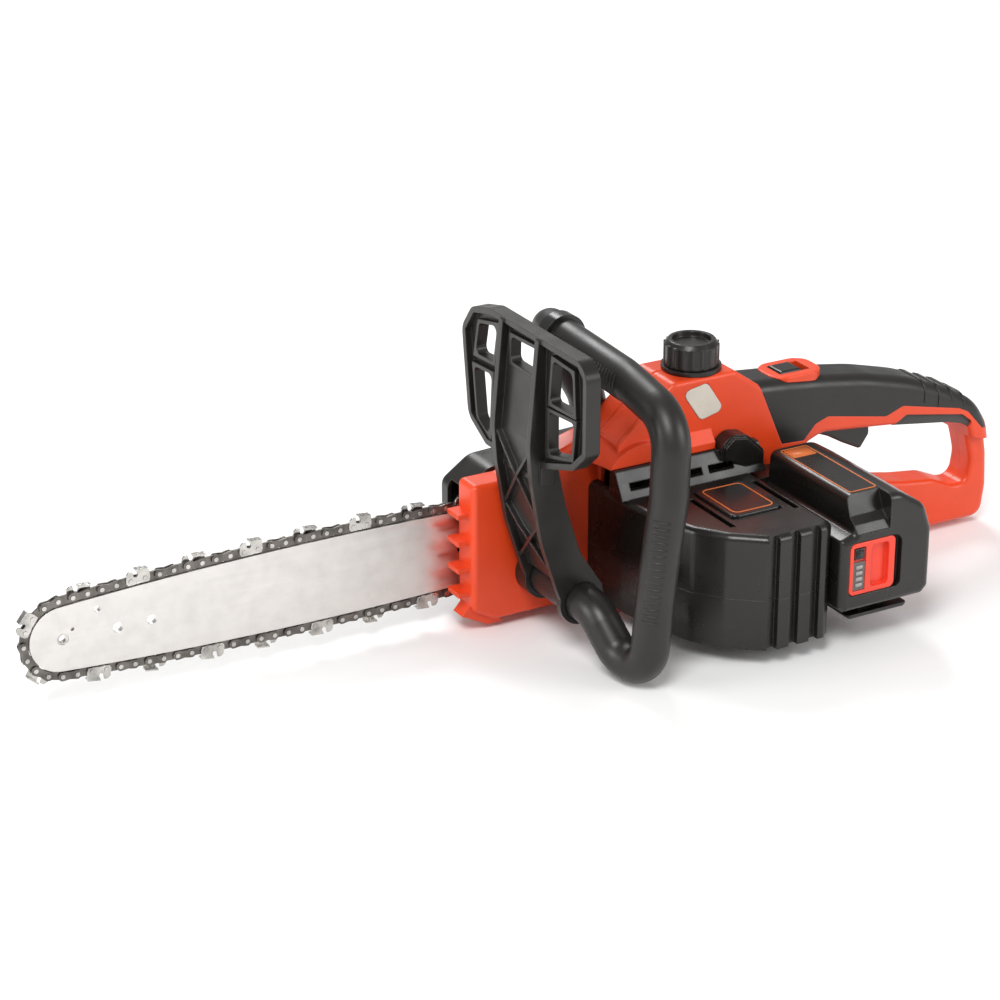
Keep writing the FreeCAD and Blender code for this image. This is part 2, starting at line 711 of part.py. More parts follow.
def inset(points, distance):
    """The same outline, moved inwards by a distance. Corners are sharp."""
    plain = [(float(p[0]), float(p[1])) for p in points]
    area = sum(a[0] * b[1] - b[0] * a[1] for a, b in zip(plain, plain[1:] + plain[:1]))
    distance = float(distance) * (1 if area > 0 else -1)
    lines = []
    for (x1, y1), (x2, y2) in zip(plain, plain[1:] + plain[:1]):
        length = math.dist((x1, y1), (x2, y2))
        dx, dy = (x2 - x1) / length, (y2 - y1) / length
        lines.append((x1 - dy * distance, y1 + dx * distance, dx, dy))
    moved = []
    for (ax, ay, adx, ady), (bx, by, bdx, bdy) in zip(lines[-1:] + lines[:-1], lines):
        cross = adx * bdy - ady * bdx
        along = ((bx - ax) * bdy - (by - ay) * bdx) / cross
        moved.append((ax + adx * along, ay + ady * along))
    return moved


secondStudX = studX - 24
guardPinRadius = 4
neckTop = (148, 143.5)                       # the housing's rear face, where the handle begins
neckMiddle = (housingRearX, 97)
neckBottom = (housingRearX - 2, 0)
tankFrontX = 82
roofLine = [neckTop, (129, housingTop, 5), (tankFrontX, housingTop, 6), (58, 139, 12), (42, 125, 12)]
rightOutline = ([(noseX, 16, 6), (-36, 7, 3), (36, 7, 4), (46, 0, 3), neckBottom, neckMiddle]
                + roofLine + [(14, 117, 10), (-28, 104, 8), (noseX, 104, 4)])
leftFrontX = 40
leftOutline = [(leftFrontX, 4), (neckBottom[0], 4), neckMiddle] + roofLine + [(leftFrontX, 122)]

rightFull = prism("XZ", sideWallY, housingRightY - sideWallY, rightOutline)
rightFull = softened(rightFull, 3, lambda edge: flat(edge, "Y", housingRightY) and edge.BoundBox.ZMin > 100)
rightFull = softened(rightFull, 3.6, lambda edge: flat(edge, "Y", sideWallY) and edge.BoundBox.XMax < -18
                     and edge.BoundBox.ZMax > 20)
rightInner = prism("XZ", splitY, sideWallY - splitY + 0.5, leftOutline)
rightHollow = prism("XZ", sideWallY + wall, housingRightY - sideWallY - 2 * wall, inset(rightOutline, wall))
leftHollowOutline = inset(leftOutline, wall)
innerHollow = prism("XZ", splitY - 1, sideWallY - splitY + wall + 1.5, leftHollowOutline)
bearingBosses = [rod("Y", spindleX, bearingOuterY - 0.3, barHeight, 13.8,
                     housingRightY - bearingOuterY - 0.7),
                 rod("Y", spindleX, sideWallY + 1, barHeight, 13.8, 6)]
barPad = block(secondStudX - 9, housingRightY - 1, barHeight - 14,
               (55, barPlaneY - barThickness / 2 - housingRightY + 0.9, 28))
bearingSeats = [rod("Y", spindleX, bearingOuterY - 1, barHeight, bearingOuter + 0.05, 6.05),
                rod("Y", spindleX, bearingInnerY, barHeight, bearingOuter + 0.05, 8),
                rod("Y", spindleX, bearingOuterY, barHeight, 7.5, 10)]
studHoles = [rod("Y", x, gearY, barHeight, studRadius, 40) for x in (studX, secondStudX)]
studBaseY = gearY + gearWidth + 0.8
studBosses = [rod("Y", x, studBaseY, barHeight, 7.5, housingRightY - studBaseY) for x in (studX, secondStudX)]
guardPinHole = rod("Y", guardPivotX, splitY, guardPivotZ, guardPinRadius, 12)
guardPinBoss = rod("Y", guardPivotX, sideWallY + 1, guardPivotZ, 8, 6)
finHeights = (26, 43, 62, 81)
fins = [block(noseX - 8, sideWallY + 5, height, (12, housingRightY - sideWallY - 6,
                                                 3.2)) for height in finHeights]
lip = prism("XZ", sideWallY + 4, 12, [(noseX - 6, 13), (-40, 3.5), (-30, 3.5), (-34, 22), (noseX + 2, 22)])
neckRadius = 12
neckHole = rod("Z", capX, splitY, housingTop - 10, neckRadius + 0.1, 20)
caseScrewPlaces = [(148, 118), (154, 16), (150, 66), (56, 16), (74, 126)]
caseScrews = [screw(x, housingRightY - 0.4, z, 36) for x, z in caseScrewPlaces]
rightPosts = [rod("Y", x, splitY, z, 4.5, housingRightY - splitY - 1) for x, z in caseScrewPlaces]
leftPosts = [rod("Y", x, tankLeftY + 1, z, 4.5, splitY - tankLeftY - 1) for x, z in caseScrewPlaces]
rightShell = cut(fuse([rightFull, rightInner, barPad, lip] + fins), [rightHollow, innerHollow])
part("housing_right", cut(fuse([rightShell, guardPinBoss] + studBosses + bearingBosses + rightPosts),
                          bearingSeats + studHoles + caseScrews + [guardPinHole, neckHole]))

windowOutline = [(88, 149.5, 4), (107, 153, 4), (120.5, 132.5, 4), (102.5, 128, 4)]
windowHole = prism("XZ", tankLeftY - 2, 8, [(x + dx, z + dz, 4) for (x, z, r), (dx, dz) in
                                            zip(windowOutline, ((-.2, .2), (.2, .2), (.2, -.2), (-.2, -.2)))])
leftFull = prism("XZ", tankLeftY, splitY - tankLeftY, leftOutline)
leftFull = softened(leftFull, 3, lambda edge: flat(edge, "Y", tankLeftY) and edge.BoundBox.ZMin > 121)
leftHollow = prism("XZ", tankLeftY + wall, splitY, leftHollowOutline)
domeX, domeZ, domeFloor = 57, 92, ridgeHeight + fit
dome = common([cone("Y", domeX, 10.5, domeZ, 29.5, 34, 24.5),
               block(20, 5, domeFloor, (80, 32.7, 60))])
domeHollow = cone("Y", domeX, 10.5 + 3.5, domeZ, 26, 30.5, 26)
ledgeOutline = [(tankLeftY + 1, 122), (9, 113), (9, ridgeHeight + 0.4), (tankLeftY + 1, ridgeHeight + 0.4)]
ledge = prism("YZ", domeX + 8, 46, ledgeOutline)
motorHole = rod("Y", motorX, 0, motorZ, motorRadius + 0.3, tankLeftY + wall + 1)
leftShell = cut(fuse([leftFull, dome, ledge]), [leftHollow, domeHollow, motorHole, windowHole, neckHole])
part("housing_left", cut(fuse([leftShell] + leftPosts), caseScrews))

part("oil_window", prism("XZ", tankLeftY - 0.5, wall + 0.2, windowOutline))
tankFloor = 118
tankSize = (38, 2 * (splitY - tankLeftY - wall - 0.5), housingTop - wall - 0.4 - tankFloor)
tankRoom = (34, 2 * (splitY - tankLeftY) - 11, housingTop - tankFloor - 9)
tankBody = softened(block(86, tankLeftY + wall + 0.5, tankFloor, tankSize), 4, lambda edge: edge.Length > 5)
part("oil_tank", cut(tankBody, [block(88, tankLeftY + wall + 2.5, tankFloor + 2, tankRoom),
                                rod("Z", capX, splitY, housingTop - 12, neckRadius - 2.4, 20)]))
neckTopZ = housingTop + 12
part("filler_neck", tube("Z", capX, splitY, housingTop - wall - 0.3, neckRadius, neckRadius - 2.4,
                         neckTopZ - housingTop + wall + 0.3))
pumpX, pumpZ, pumpY = 80, 14, 45
pumpBody = block(pumpX - 9, pumpY, 3.2, (22, 10.3, 24))
part("oil_pump", fuse([pumpBody, rod("Y", pumpX + 2, pumpY - 4, pumpZ, 6, 5),
                       rod("Z", pumpX + 9, pumpY + 5, 27, 2.4, tankFloor - 27),
                       rod("Z", pumpX + 9, pumpY + 5, tankFloor - 6, 3.6, 6)]))

# ---------------------------------------------------------------- motor cover

coverPlan = [(32.5, sideWallY - fit), (coverFrontX, 0, 12), (39, -30, 20), (50, -60, 14), (64, -79, 14),
             (86, coverLeftY, 16), (coverRearX - 7, coverLeftY, 4), (coverRearX, coverLeftY + 6, 4),
             (coverRearX, tankLeftY - fit), (leftFrontX - fit, tankLeftY - fit),
             (leftFrontX - fit, sideWallY - fit)]
coverBlock = prism("XY", coverBottom, coverTop - coverBottom, coverPlan)
coverBlock = softened(coverBlock, 5, lambda edge: flat(edge, "Z", coverTop) and edge.BoundBox.YMin < -5
                      and edge.BoundBox.XMin > 30)
ridgeSection = [(-2, coverTop - 0.5), (8, ridgeHeight, 2), (tankLeftY - fit, ridgeHeight),
                (tankLeftY - fit, coverTop - 0.5)]
ridge = prism("YZ", 34, 110, ridgeSection)
humpOutline = [(112, ridgeHeight - 6), (112, ridgeHeight + 3, 5), (120, ridgeHeight + 10, 9),
               (132, ridgeHeight + 8, 9), (145.5, 103, 6), (145, coverTop - 0.5), (134, coverTop - 0.5)]
ridgeEnd = fuse([prism("XZ", 3, tankLeftY - fit - 3, humpOutline),
                 prism("XZ", 0.5, 3, inset(humpOutline, 2))])
badgeX, badgeY, badgeLength, badgeWidth = 80, -60, 38, 48
grooveWall = block(80, coverLeftY, coverBottom, (60, 7, coverTop - coverBottom))
coverHollow = cut(prism("XY", coverBottom + coverWall, coverTop - coverBottom - 2 * coverWall,
                        inset(coverPlan, coverWall)),
                  [grooveWall])
ridgeHollow = prism("YZ", 42, 78, [(3, coverTop - 5), (2.5, coverTop - 0.5), (10, ridgeHeight - coverWall),
                                   (tankLeftY - fit - coverWall, ridgeHeight - coverWall),
                                   (tankLeftY - 3, coverTop - 5)])
backOpening = prism("XZ", tankLeftY - 4, 6, [(42.8, 18), (128, 18), (128, coverTop - 3),
                                             (42.8, coverTop - 3)])
grooves = [block(x - 3.4, coverLeftY - 2, coverBottom - 1, (6.8, 6.2, coverTop - coverBottom + 2))
           for x in (88, 103.5, 119)]
vents = []
for x, length in ((42, 16), (63, 15), (83, 14), (102, 19)):
    item = block(x, -8, coverTop + 4.6, (length, 16, 4.4))
    vents.append(item)
plateSlots = [block(x, y, coverTop - 4, (4, 50, 6)) for x, y in ((72, -70), (124, -64))]
badgeSeat = block(badgeX - 0.2, badgeY - 0.2, coverTop - 1.2, (badgeLength + 0.4, badgeWidth + 0.4, 3))
coverScrewPlaces = [(127.5, -86), (127.5, 4), (74, -71)]
coverPosts = [rod("Z", x, y, coverBottom + 1, 3.6, coverTop - coverBottom - 2) for x, y in coverScrewPlaces]
coverScrews = [coverScrew(x, y) for x, y in coverScrewPlaces]
coverSolid = cut(fuse([coverBlock, ridge, ridgeEnd]),
                 [coverHollow, ridgeHollow, backOpening, badgeSeat] + grooves + vents + plateSlots)
upperCut = block(-20, -150, coverBottom - 10, (240, 250, coverSplit - coverBottom + 10))
lowerCut = block(-20, -150, coverSplit, (240, 250, 120))
coverSolid = cut(fuse([coverSolid] + coverPosts), coverScrews)
part("upper_motor_cover", cut(coverSolid, [upperCut]))
part("lower_motor_cover", cut(coverSolid, [lowerCut]))
badgeOutline = [(badgeX, badgeY, 5), (badgeX + badgeLength, badgeY, 5),
                (badgeX + badgeLength, badgeY + badgeWidth, 5), (badgeX, badgeY + badgeWidth, 5)]
badgePlate = prism("XY", coverTop - 1.2, 3.2, badgeOutline)
part("badge_plate", softened(badgePlate, 1.2, lambda edge: flat(edge, "Z", coverTop + 2)))
boardX = coverRearX - coverWall - 3
standoffs = [rod("X", boardX + 1.5, y, z, 2.4, 1.5) for y in (-52, -16) for z in (30, 74)]
part("control_board", fuse([block(boardX, -60, 24, (1.6, 52, 58)), block(boardX - 9, -52, 30, (9.2, 20, 26)),
                            block(boardX - 6, -26, 58, (6.2, 12, 14))] + standoffs))


# ---------------------------------------------------------------- rear handle

gripLeft, gripRight = splitY - gripHalfWidth, splitY + gripHalfWidth
loopLeft, loopRight = splitY - loopHalfWidth, splitY + loopHalfWidth
gripTop = [(178, 140.5), (206, 137, 60), (240, 131.5, 140), (278, 121.5, 140), (312, 107.5, 90),
           (334, 94, 40),
           (344.5, 77, 26)]
gripOutline = [neckTop] + gripTop + [(349, 52, 30), (350.5, 28, 30), (347.5, 4.5, 10), (196, 5, 20),
                                     neckBottom, neckMiddle]
gripHole = [(188, 62, 8), (240, 52, 20), (280, 44, 30), (303, 41, 20), (320, 33.5, 12), (331.5, 32.5, 8),
            (334, 50, 20), (331, 62, 20), (325.5, 80, 6), (309, 84.5, 20), (259, 92, 20), (203, 98, 16),
            (188, 92, 8)]
splitLine = [(352, 72), (337, 75.5, 4), (324, 90, 4), (316, 94, 5), (268, 105, 5), (254, 100, 5),
             (206, 109.5, 5),
             (196, 106, 4), (187, 96)]
wideOutline = [(140, -10), (200, -10), (213, 58), (326, 70), (352, 64), (370, 64), (370, 170), (140, 170)]
wideRegion = prism("XZ", gripLeft - 2, gripHalfWidth * 2 + 4, wideOutline)
handleScrewPlaces = [(180, 28, gripRight), (262, 28, loopRight), (341, 20, loopRight),
                     (290, 106.5, gripRight)]


def onRim(edge):
    """True on the outer edges of the grip and loop sides, and not on those round the hand opening."""
    box = edge.BoundBox
    middleX, middleZ = (box.XMin + box.XMax) / 2, (box.ZMin + box.ZMax) / 2
    return middleZ > 99 or middleZ < 9 or middleX > 337 or (middleX > 320 and middleZ > 88)


def roundedGrip(halfWidth, rim):
    """The grip and loop outline at one width, with a rounded rim and a softened hand opening."""
    sides = (splitY - halfWidth, splitY + halfWidth)

    def onSide(edge):
        box = edge.BoundBox
        return (flat(edge, "Y", sides[0]) or flat(edge, "Y", sides[1])) and box.XMax > 169 and box.ZMax > 1

    solid = prism("XZ", sides[0], halfWidth * 2, gripOutline, [gripHole])
    solid = softened(solid, rim, lambda edge: onSide(edge) and onRim(edge))
    return softened(solid, 3.6, lambda edge: onSide(edge) and not onRim(edge))


handleBlock = fuse([common([roundedGrip(gripHalfWidth, 9), wideRegion]), roundedGrip(loopHalfWidth, 6)])
skinOutline = [neckTop, (178, 160), (300, 160), (360, 120), (366, 72)] + splitLine + [neckMiddle]
skinRegion = prism("XZ", gripLeft - 2, gripHalfWidth * 2 + 4, skinOutline)
skinBlock = common([handleBlock, skinRegion])
coreTop = inset([neckTop] + gripTop + [(347, 58), (300, 60), (200, 60), (150, 90)], gripSkin)
coreBlock = prism("XZ", gripLeft + gripSkin, (gripHalfWidth - gripSkin) * 2,
                  [(neckTop[0] - 4, neckTop[1] + 0.4 - gripSkin)] + coreTop[1:])
coreBlock = softened(coreBlock, 7, lambda edge: (flat(edge, "Y", gripLeft + gripSkin)
                                                 or flat(edge, "Y", gripRight - gripSkin))
                     and edge.BoundBox.ZMin > 70 and edge.BoundBox.ZMax > 96)
ringZ = 142.4
ringOutline = [(165, 26, 9), (173, 20, 10), (197, 20, 10), (205, 26, 9), (205, 44, 9), (197, 50, 10),
               (173, 50, 10),
               (165, 44, 9)]
ringSeat = prism("XY", 136, 20, ringOutline)
handleScrews = [screw(x, face - 0.4, z, (face - splitY) * 2 - 6) for x, z, face in handleScrewPlaces]
part("handle_overmould", cut(skinBlock, [coreBlock, ringSeat] + handleScrews[3:]))
insertOutline = [(258, 90), (271, 98, 3), (319, 89, 2), (328, 82, 2), (326, 77, 2), (309, 78)]
insertSeat = prism("XZ", gripLeft - 2, gripHalfWidth * 2 + 4, insertOutline)
insertBlock = cut(prism("XZ", gripLeft + 2, gripHalfWidth * 2 - 4, insertOutline),
                  [prism("XZ", gripLeft, gripHalfWidth * 2, gripHole)])
part("handle_insert", insertBlock)

hollowLeft, hollowDepth = gripLeft + gripSkin + wall, (gripHalfWidth - gripSkin - wall) * 2
hollowOutline = [(173, 96), (173, 6), (198, 9), (340, 8.5), (345.5, 16), (346, 34), (344, 52), (341, 64),
                 (335, 70),
                 (335.5, 60), (338, 50), (336, 29), (318, 29.5), (302, 37), (279, 40), (240, 48), (182, 57.5),
                 (182, 100), (205, 105), (258, 103), (264, 117), (240, 125.2), (202, 130.6), (157, 133.5)]
loopHollow = prism("XZ", loopLeft + wall, (loopHalfWidth - wall) * 2, hollowOutline)
gripHollow = common([prism("XZ", hollowLeft, hollowDepth, hollowOutline),
                     prism("XZ", hollowLeft - 1, hollowDepth + 2, inset(wideOutline, wall))])
handleHollow = fuse([loopHollow, gripHollow])
triggerX, triggerZ = 202, 103.5
triggerSlot = prism("XZ", splitY - 6.4, 12.8, [(194, 92), (255, 80), (253, 113), (206, 118), (193, 112)])
lockSlot = block(170, splitY - 10.3, 128, (32, 20.6, 9))
buttonSlot = block(172.6, splitY - 8.4, 130, (23.8, 16.8, 20))
triggerPin = rod("Y", triggerX, hollowLeft - 1, triggerZ, 2, hollowDepth + 2)
handlePosts = [rod("Y", x, splitY * 2 - face + wall - 0.5, z, 4.5, (face - splitY - wall) * 2 + 1)
               for x, z, face in handleScrewPlaces[:3]]
handleLoop = fuse([cut(handleBlock, [skinRegion]), common([skinBlock, coreBlock])])
handleCore = cut(handleLoop, [insertSeat, handleHollow, triggerSlot, ringSeat, lockSlot, buttonSlot])
handleCore = fuse([handleCore] + handlePosts)
leftOfSplit = block(100, -60, -20, (300, splitY + 60, 240))
rightOfSplit = block(100, splitY, -20, (300, 60, 240))
part("rear_handle_left", cut(fuse([common([handleCore, leftOfSplit]), triggerPin]), handleScrews))
part("rear_handle_right", cut(common([handleCore, rightOfSplit]), [triggerPin] + handleScrews))
ringPlate = softened(prism("XY", 136, ringZ - 136, ringOutline), 1.2, lambda edge: flat(edge, "Z", ringZ))
part("lock_ring", cut(ringPlate, [block(172.6, splitY - 8.4, 130, (23.8, 16.8, 20))]))

buttonX = 173
buttonTop = softened(block(buttonX, splitY - 8, 134, (17, 16, 9.6)), 2,
                     lambda edge: edge.BoundBox.ZMin > 134.5 and edge.BoundBox.ZMax - edge.BoundBox.ZMin < 20
                     and (flat(edge, "Z", 143.6) or edge.BoundBox.ZMax > 143))
part("lock_off_button", fuse([buttonTop, block(buttonX - 2, splitY - 10, 131.5, (21, 20, 4.2))]))

triggerOutline = [(196.5, 103), (197.5, 98, 3), (206, 92.5, 6), (216, 88.5, 12), (228, 81.5, 10),
                  (243, 74, 2.5),
                  (250, 84, 4), (249, 101, 2), (206, 109, 4), (198, 108, 4)]
triggerBlade = softened(prism("XZ", splitY - 6, 12, triggerOutline), 2,
                        lambda edge: (flat(edge, "Y", splitY - 6) or flat(edge, "Y", splitY + 6))
                        and edge.BoundBox.ZMax < 97 and edge.BoundBox.XMin > 202)
part("trigger", cut(triggerBlade, [rod("Y", triggerX, splitY - 10, triggerZ, 2 + runningFit, 20)]))
switchZ = 113.5
part("switch", fuse([block(214, splitY - 8, switchZ, (24, 16, 11)),
                     block(218, hollowLeft, switchZ + 3, (12, hollowDepth, 5)),
                     rod("Z", 226, splitY, switchZ - 2.5, 2.5, 4)]))

# ---------------------------------------------------------------- front handle


def bentTube(points, radius):
    """A round bar along a line of (x, y, z, bend radius) points."""
    corners = [(Vector(*[float(c) for c in p[:3]]), p[3] if len(p) > 3 else 0) for p in points]
    spans = [(corners[0][0], None, corners[0][0])]
    for (before, _), (corner, bend), (after, _) in zip(corners, corners[1:], corners[2:]):
        backwards = (before - corner).normalize()
        onwards = (after - corner).normalize()
        half = backwards.getAngle(onwards) / 2
        reach = bend / math.tan(half)
        middle = (backwards + onwards).normalize()
        spans.append((corner + backwards * reach, corner + middle * (bend / math.sin(half) - bend),
                      corner + onwards * reach))
    spans.append((corners[-1][0], None, corners[-1][0]))
    edges = []
    for (_, _, end), (start, nearest, leave) in zip(spans, spans[1:]):
        if (start - end).Length > 1e-3:
            edges.append(Part.LineSegment(end, start).toShape())
        if nearest is not None:
            edges.append(Part.Arc(start, nearest, leave).toShape())
    path = Part.Wire(edges)
    direction = (corners[1][0] - corners[0][0]).normalize()
    profile = Part.Wire([Part.makeCircle(float(radius), corners[0][0], direction)])
    return path.makePipeShell([profile], True, False)


handleFootX = 54
handlePath = [(handleFootX, 63, 104), (48, 69, 140, 30), (26, 84, handleTopZ, 15),
              (20, 60, handleTopZ + 1.5, 14),
              (handleX, -24, handleTopZ - 2, 60),
              (handleX, handleLeftY + 4, handleTopZ - 12, 26), (16, handleLeftY - 0.5, 128, 60),
              (10, handleLeftY, 80, 80), (4, handleLeftY + 1, handleRadius + 0.7, 15),
              (-1, -58, handleRadius + 1.7, 20), (guardPivotX, -36, guardPivotZ, 20),
              (guardPivotX, sideWallY, guardPivotZ)]
handleBar = doc.addObject("Part::Feature", "handleBar")
handleBar.Shape = bentTube(handlePath, handleRadius)
footPlate = softened(block(handleFootX - 15, housingRightY, 112, (34, 4, 15)), 3,
                     lambda edge: edge.BoundBox.YMax - edge.BoundBox.YMin > 3)
footTrim = common([prism("XZ", sideWallY - 4, housingRightY - sideWallY + 4, rightOutline),
                   block(30, sideWallY - 4, 60, (60, 40, 100))])
pinStartY = 22
pinBore = rod("Y", guardPivotX, pinStartY, guardPivotZ, guardPinRadius + 0.02, sideWallY - pinStartY + 1)
footFloor = block(handleFootX - 30, sideWallY, 60, (60, 60, 52))
handleBody = cut(fuse([handleBar, footPlate]), [footTrim, footFloor, pinBore])
footHoles = [rod("Y", handleFootX + x, housingRightY - 1, 119.5, 1.7, 8) for x in (-11.5, 15.5)]
part("front_handle", cut(handleBody, footHoles))
collarY = 48
part("handle_collar", cut(rod("Y", handleX, collarY, handleTopZ + 1.1, handleRadius + 2.9, 10), [handleBar]))

# ---------------------------------------------------------------- front guard

guardOuter = [(79, 198, 12), (66, 215, 12), (42, guardTopZ, 20), (-66, guardTopZ, 12), (-75, 213, 10),
              (-75, 162, 8),
              (-60, 148.5, 4), (-22, 136), (-22, 124), (31, 122), (31, 128), (48, 127.5, 6), (71, 140, 12),
              (77, 182, 30)]
farUpper = [(58, 206, 4), (35, 211, 4), (40, 186, 3), (63, 184.5, 4)]
farLower = [(65, 175, 4), (42, 176.5, 4), (45, 134, 4), (60, 141.5, 6)]
middleWindow = [(17.5, 210, 4), (-16, 211.5, 4), (-13, 193.5, 4), (18, 193.5, 4)]
nearUpper = [(-34, 211, 4), (-57, 210, 5), (-59, 184, 3), (-30.5, 182.5, 3)]
nearLower = [(-29, 176, 3), (-59.5, 178.5, 3), (-56.5, 155, 5), (-29, 148, 3)]
guardWindows = [farUpper, farLower, middleWindow, nearUpper, nearLower]
paddle = prism("YZ", guardFrontX, guardDepth, guardOuter)
paddleRim = prism("YZ", guardFrontX - 1, guardDepth + 2, inset(guardOuter, 4))
plateDepth = 2.5
paddlePlate = prism("YZ", guardFrontX + 4.5, plateDepth, inset(guardOuter, 2))
webDepth = 3
windowFrames = [prism("YZ", guardFrontX + 1, guardDepth - 2.5,
                      inset(window, -2.4)) for window in guardWindows]
windowCuts = [prism("YZ", guardFrontX - 20, 40, window) for window in guardWindows]
armFront = [(-17, 29, 4), (-25, 50, 20), (-36, 84, 40), (-43, 125, 60), (-45, 150, 60), (-41.5, 190, 60),
            (-39, 219)]
armBack = [(-28.5, 219), (-28, 150, 40), (-19, 107, 60), (-8, 72, 40), (9, 46), (8, 30)]
flangeOutline = armFront + armBack
flangeThickness = 4.5
nearY, farY = -20, 24.5
flanges = [prism("XZ", y, flangeThickness, flangeOutline) for y in (nearY, farY)]
webOffset = 5.5
webOutline = ([(x + webOffset, z) for x, z, *r in armFront[1:]]
              + [(x + webOffset + webDepth, z) for x, z, *r in armFront[:0:-1]])
web = prism("XZ", nearY + 1, farY - nearY, webOutline)


def brace(fromYZ, toYZ):
    """A thin rib across the stem between the two flanges."""
    (y1, z1), (y2, z2) = fromYZ, toYZ
    length = math.dist(fromYZ, toYZ)
    sideY, sideZ = -(z2 - z1) / length * 0.9, (y2 - y1) / length * 0.9
    outline = [(y1 - sideY, z1 - sideZ), (y2 - sideY, z2 - sideZ), (y2 + sideY, z2 + sideZ),
               (y1 + sideY, z1 + sideZ)]
    return common([prism("YZ", -60, 80, outline),
                   prism("XZ", nearY + 1, farY - nearY, [(x + 1.5, z) for x, z, *r in armFront[:-1]]
                         + [(x + webOffset + 1, z) for x, z, *r in armFront[-2::-1]])])


braces = [brace((nearY + 2, 148), (farY + 2, 96)), brace((farY + 2, 148), (nearY + 2, 96)),
          brace((nearY + 2, 96), (farY + 2, 56)), brace((farY + 2, 96), (nearY + 2, 56))]
eyeRadius = handleRadius + 3.8
hub = rod("Y", guardPivotX, farY, guardPivotZ, eyeRadius, sideWallY - fit - farY)
hubNear = rod("Y", guardPivotX, nearY, guardPivotZ, eyeRadius, flangeThickness)
guardShell = fuse([cut(paddle, [paddleRim]), paddlePlate, web] + windowFrames)
guardSolid = fuse([cut(guardShell, windowCuts)] + flanges + [hub, hubNear] + braces)
guardBore = rod("Y", guardPivotX, nearY - 10, guardPivotZ, handleRadius + fit, 80)
part("hand_guard", cut(guardSolid, [guardBore]))
part("guard_pin", rod("Y", guardPivotX, pinStartY + 0.5, guardPivotZ, guardPinRadius,
                      sideWallY + 6.5 - pinStartY))


# ---------------------------------------------------------------- chain cover and tensioner

sideFace = housingRightY
sideCoverOutline = [(-50, 12, 6), (84, 10, 14), (86, 92, 20), (62, 110, 14), (-30, 106, 16), (-50, 92, 8)]
sideCoverFull = prism("XZ", sideFace, chainCoverY - sideFace, sideCoverOutline)
sideCoverFull = softened(sideCoverFull, 4, lambda edge: flat(edge, "Y", chainCoverY))
sideCoverHollow = prism("XZ", sideFace - 1, chainCoverY - sideFace - wall + 1, inset(sideCoverOutline, wall))
barGate = block(-60, sideFace - 1, 10, (26, 20, 84))
chipGate = block(-40, sideFace - 1, 2, (24, 22, 14))
recessDepth = 5
wheelSeat = rod("Y", studX, chainCoverY - recessDepth, barHeight, wheelRadius + 0.6, 20)
wheelCup = common([rod("Y", studX, chainCoverY - recessDepth - wall, barHeight, wheelRadius + 0.6 + wall,
                       recessDepth + wall), sideCoverFull])
clampPad = rod("Y", studX, barPlaneY + barThickness / 2 + 1.2, barHeight, 9,
               chainCoverY - recessDepth - 1 - barPlaneY - barThickness / 2 - 1.2)
coverBore = rod("Y", studX, sideFace, barHeight, studRadius + 0.3, 60)
part("sprocket_cover", cut(fuse([cut(sideCoverFull, [sideCoverHollow, barGate, chipGate]), wheelCup,
                                 clampPad]),
                           [wheelSeat, coverBore]))
guideOutline = [(secondStudX - 7, barHeight - 11, 3), (8, barHeight - 11, 3), (8, barHeight + 11, 3),
                (secondStudX - 7, barHeight + 11, 3)]
guideY = barPlaneY + barThickness / 2 + 0.1
part("guide_plate", cut(prism("XZ", guideY, 1.1, guideOutline),
                        [rod("Y", x, guideY - 2, barHeight, studRadius, 5) for x in (studX, secondStudX)]))
studNut = prism("XZ", guideY + 1.1, 4, [(secondStudX + 6.5 * math.cos(k * math.pi / 3),
                                          barHeight + 6.5 * math.sin(k * math.pi / 3)) for k in range(6)])
secondStud = fuse([rod("Y", secondStudX, studBaseY, barHeight, studRadius, 24), studNut])
part("bar_studs", group([rod("Y", studX, studBaseY, barHeight, studRadius, 44), secondStud]))
sliderZ = barHeight - 15
sliderY = guideY + 1.6
part("tension_slider", fuse([rod("Y", tensionPinX, barPlaneY - barThickness / 2 + 0.2, sliderZ,
                                 tensionPinRadius, 9),
                             block(tensionPinX - 8, sliderY, sliderZ - 5, (20, 3.4, 8.4))]))
wheelY = chainCoverY - recessDepth + fit
wheelRing = tube("Y", studX, wheelY, barHeight, wheelRadius, knobRadius + 0.6, 7.5)
wheelWeb = tube("Y", studX, wheelY, barHeight, knobRadius + 2, 9, 2)
lugs = []
for number in range(24):
    angle = number * math.tau / 24
    lugs.append(rod("Y", studX + (wheelRadius - 1.2) * math.cos(angle), wheelY + 1.5,
                    barHeight + (wheelRadius - 1.2) * math.sin(angle), 1.5, 6.6))
part("tension_wheel", fuse([wheelRing, wheelWeb] + lugs))
knobY = wheelY + 2.3
knobOuterY = 102.5
knobBody = softened(rod("Y", studX, knobY, barHeight, knobRadius, knobOuterY - knobY), 2,
                    lambda edge: flat(edge, "Y", knobOuterY))
knobScoops = [rod("Y", studX + (knobRadius + 4) * math.cos(k * math.tau / 7), knobY + 5.5,
                  barHeight + (knobRadius + 4) * math.sin(k * math.tau / 7), 7.5, 20) for k in range(7)]
knobBoss = rod("Y", studX, wheelY - 0.1, barHeight, 8.8, 4)
part("lock_knob", cut(fuse([knobBody, knobBoss]), knobScoops + [rod("Y", studX, wheelY - 2, barHeight,
                                                                     studRadius + runningFit, 17)]))
catcherFoot = block(-34, sideFace, 7.2, (20, 16, 3.6))
part("chain_catcher", fuse([catcherFoot, block(-34, sideFace, 7.2, (5, 4, 8))]))

# ---------------------------------------------------------------- oil cap

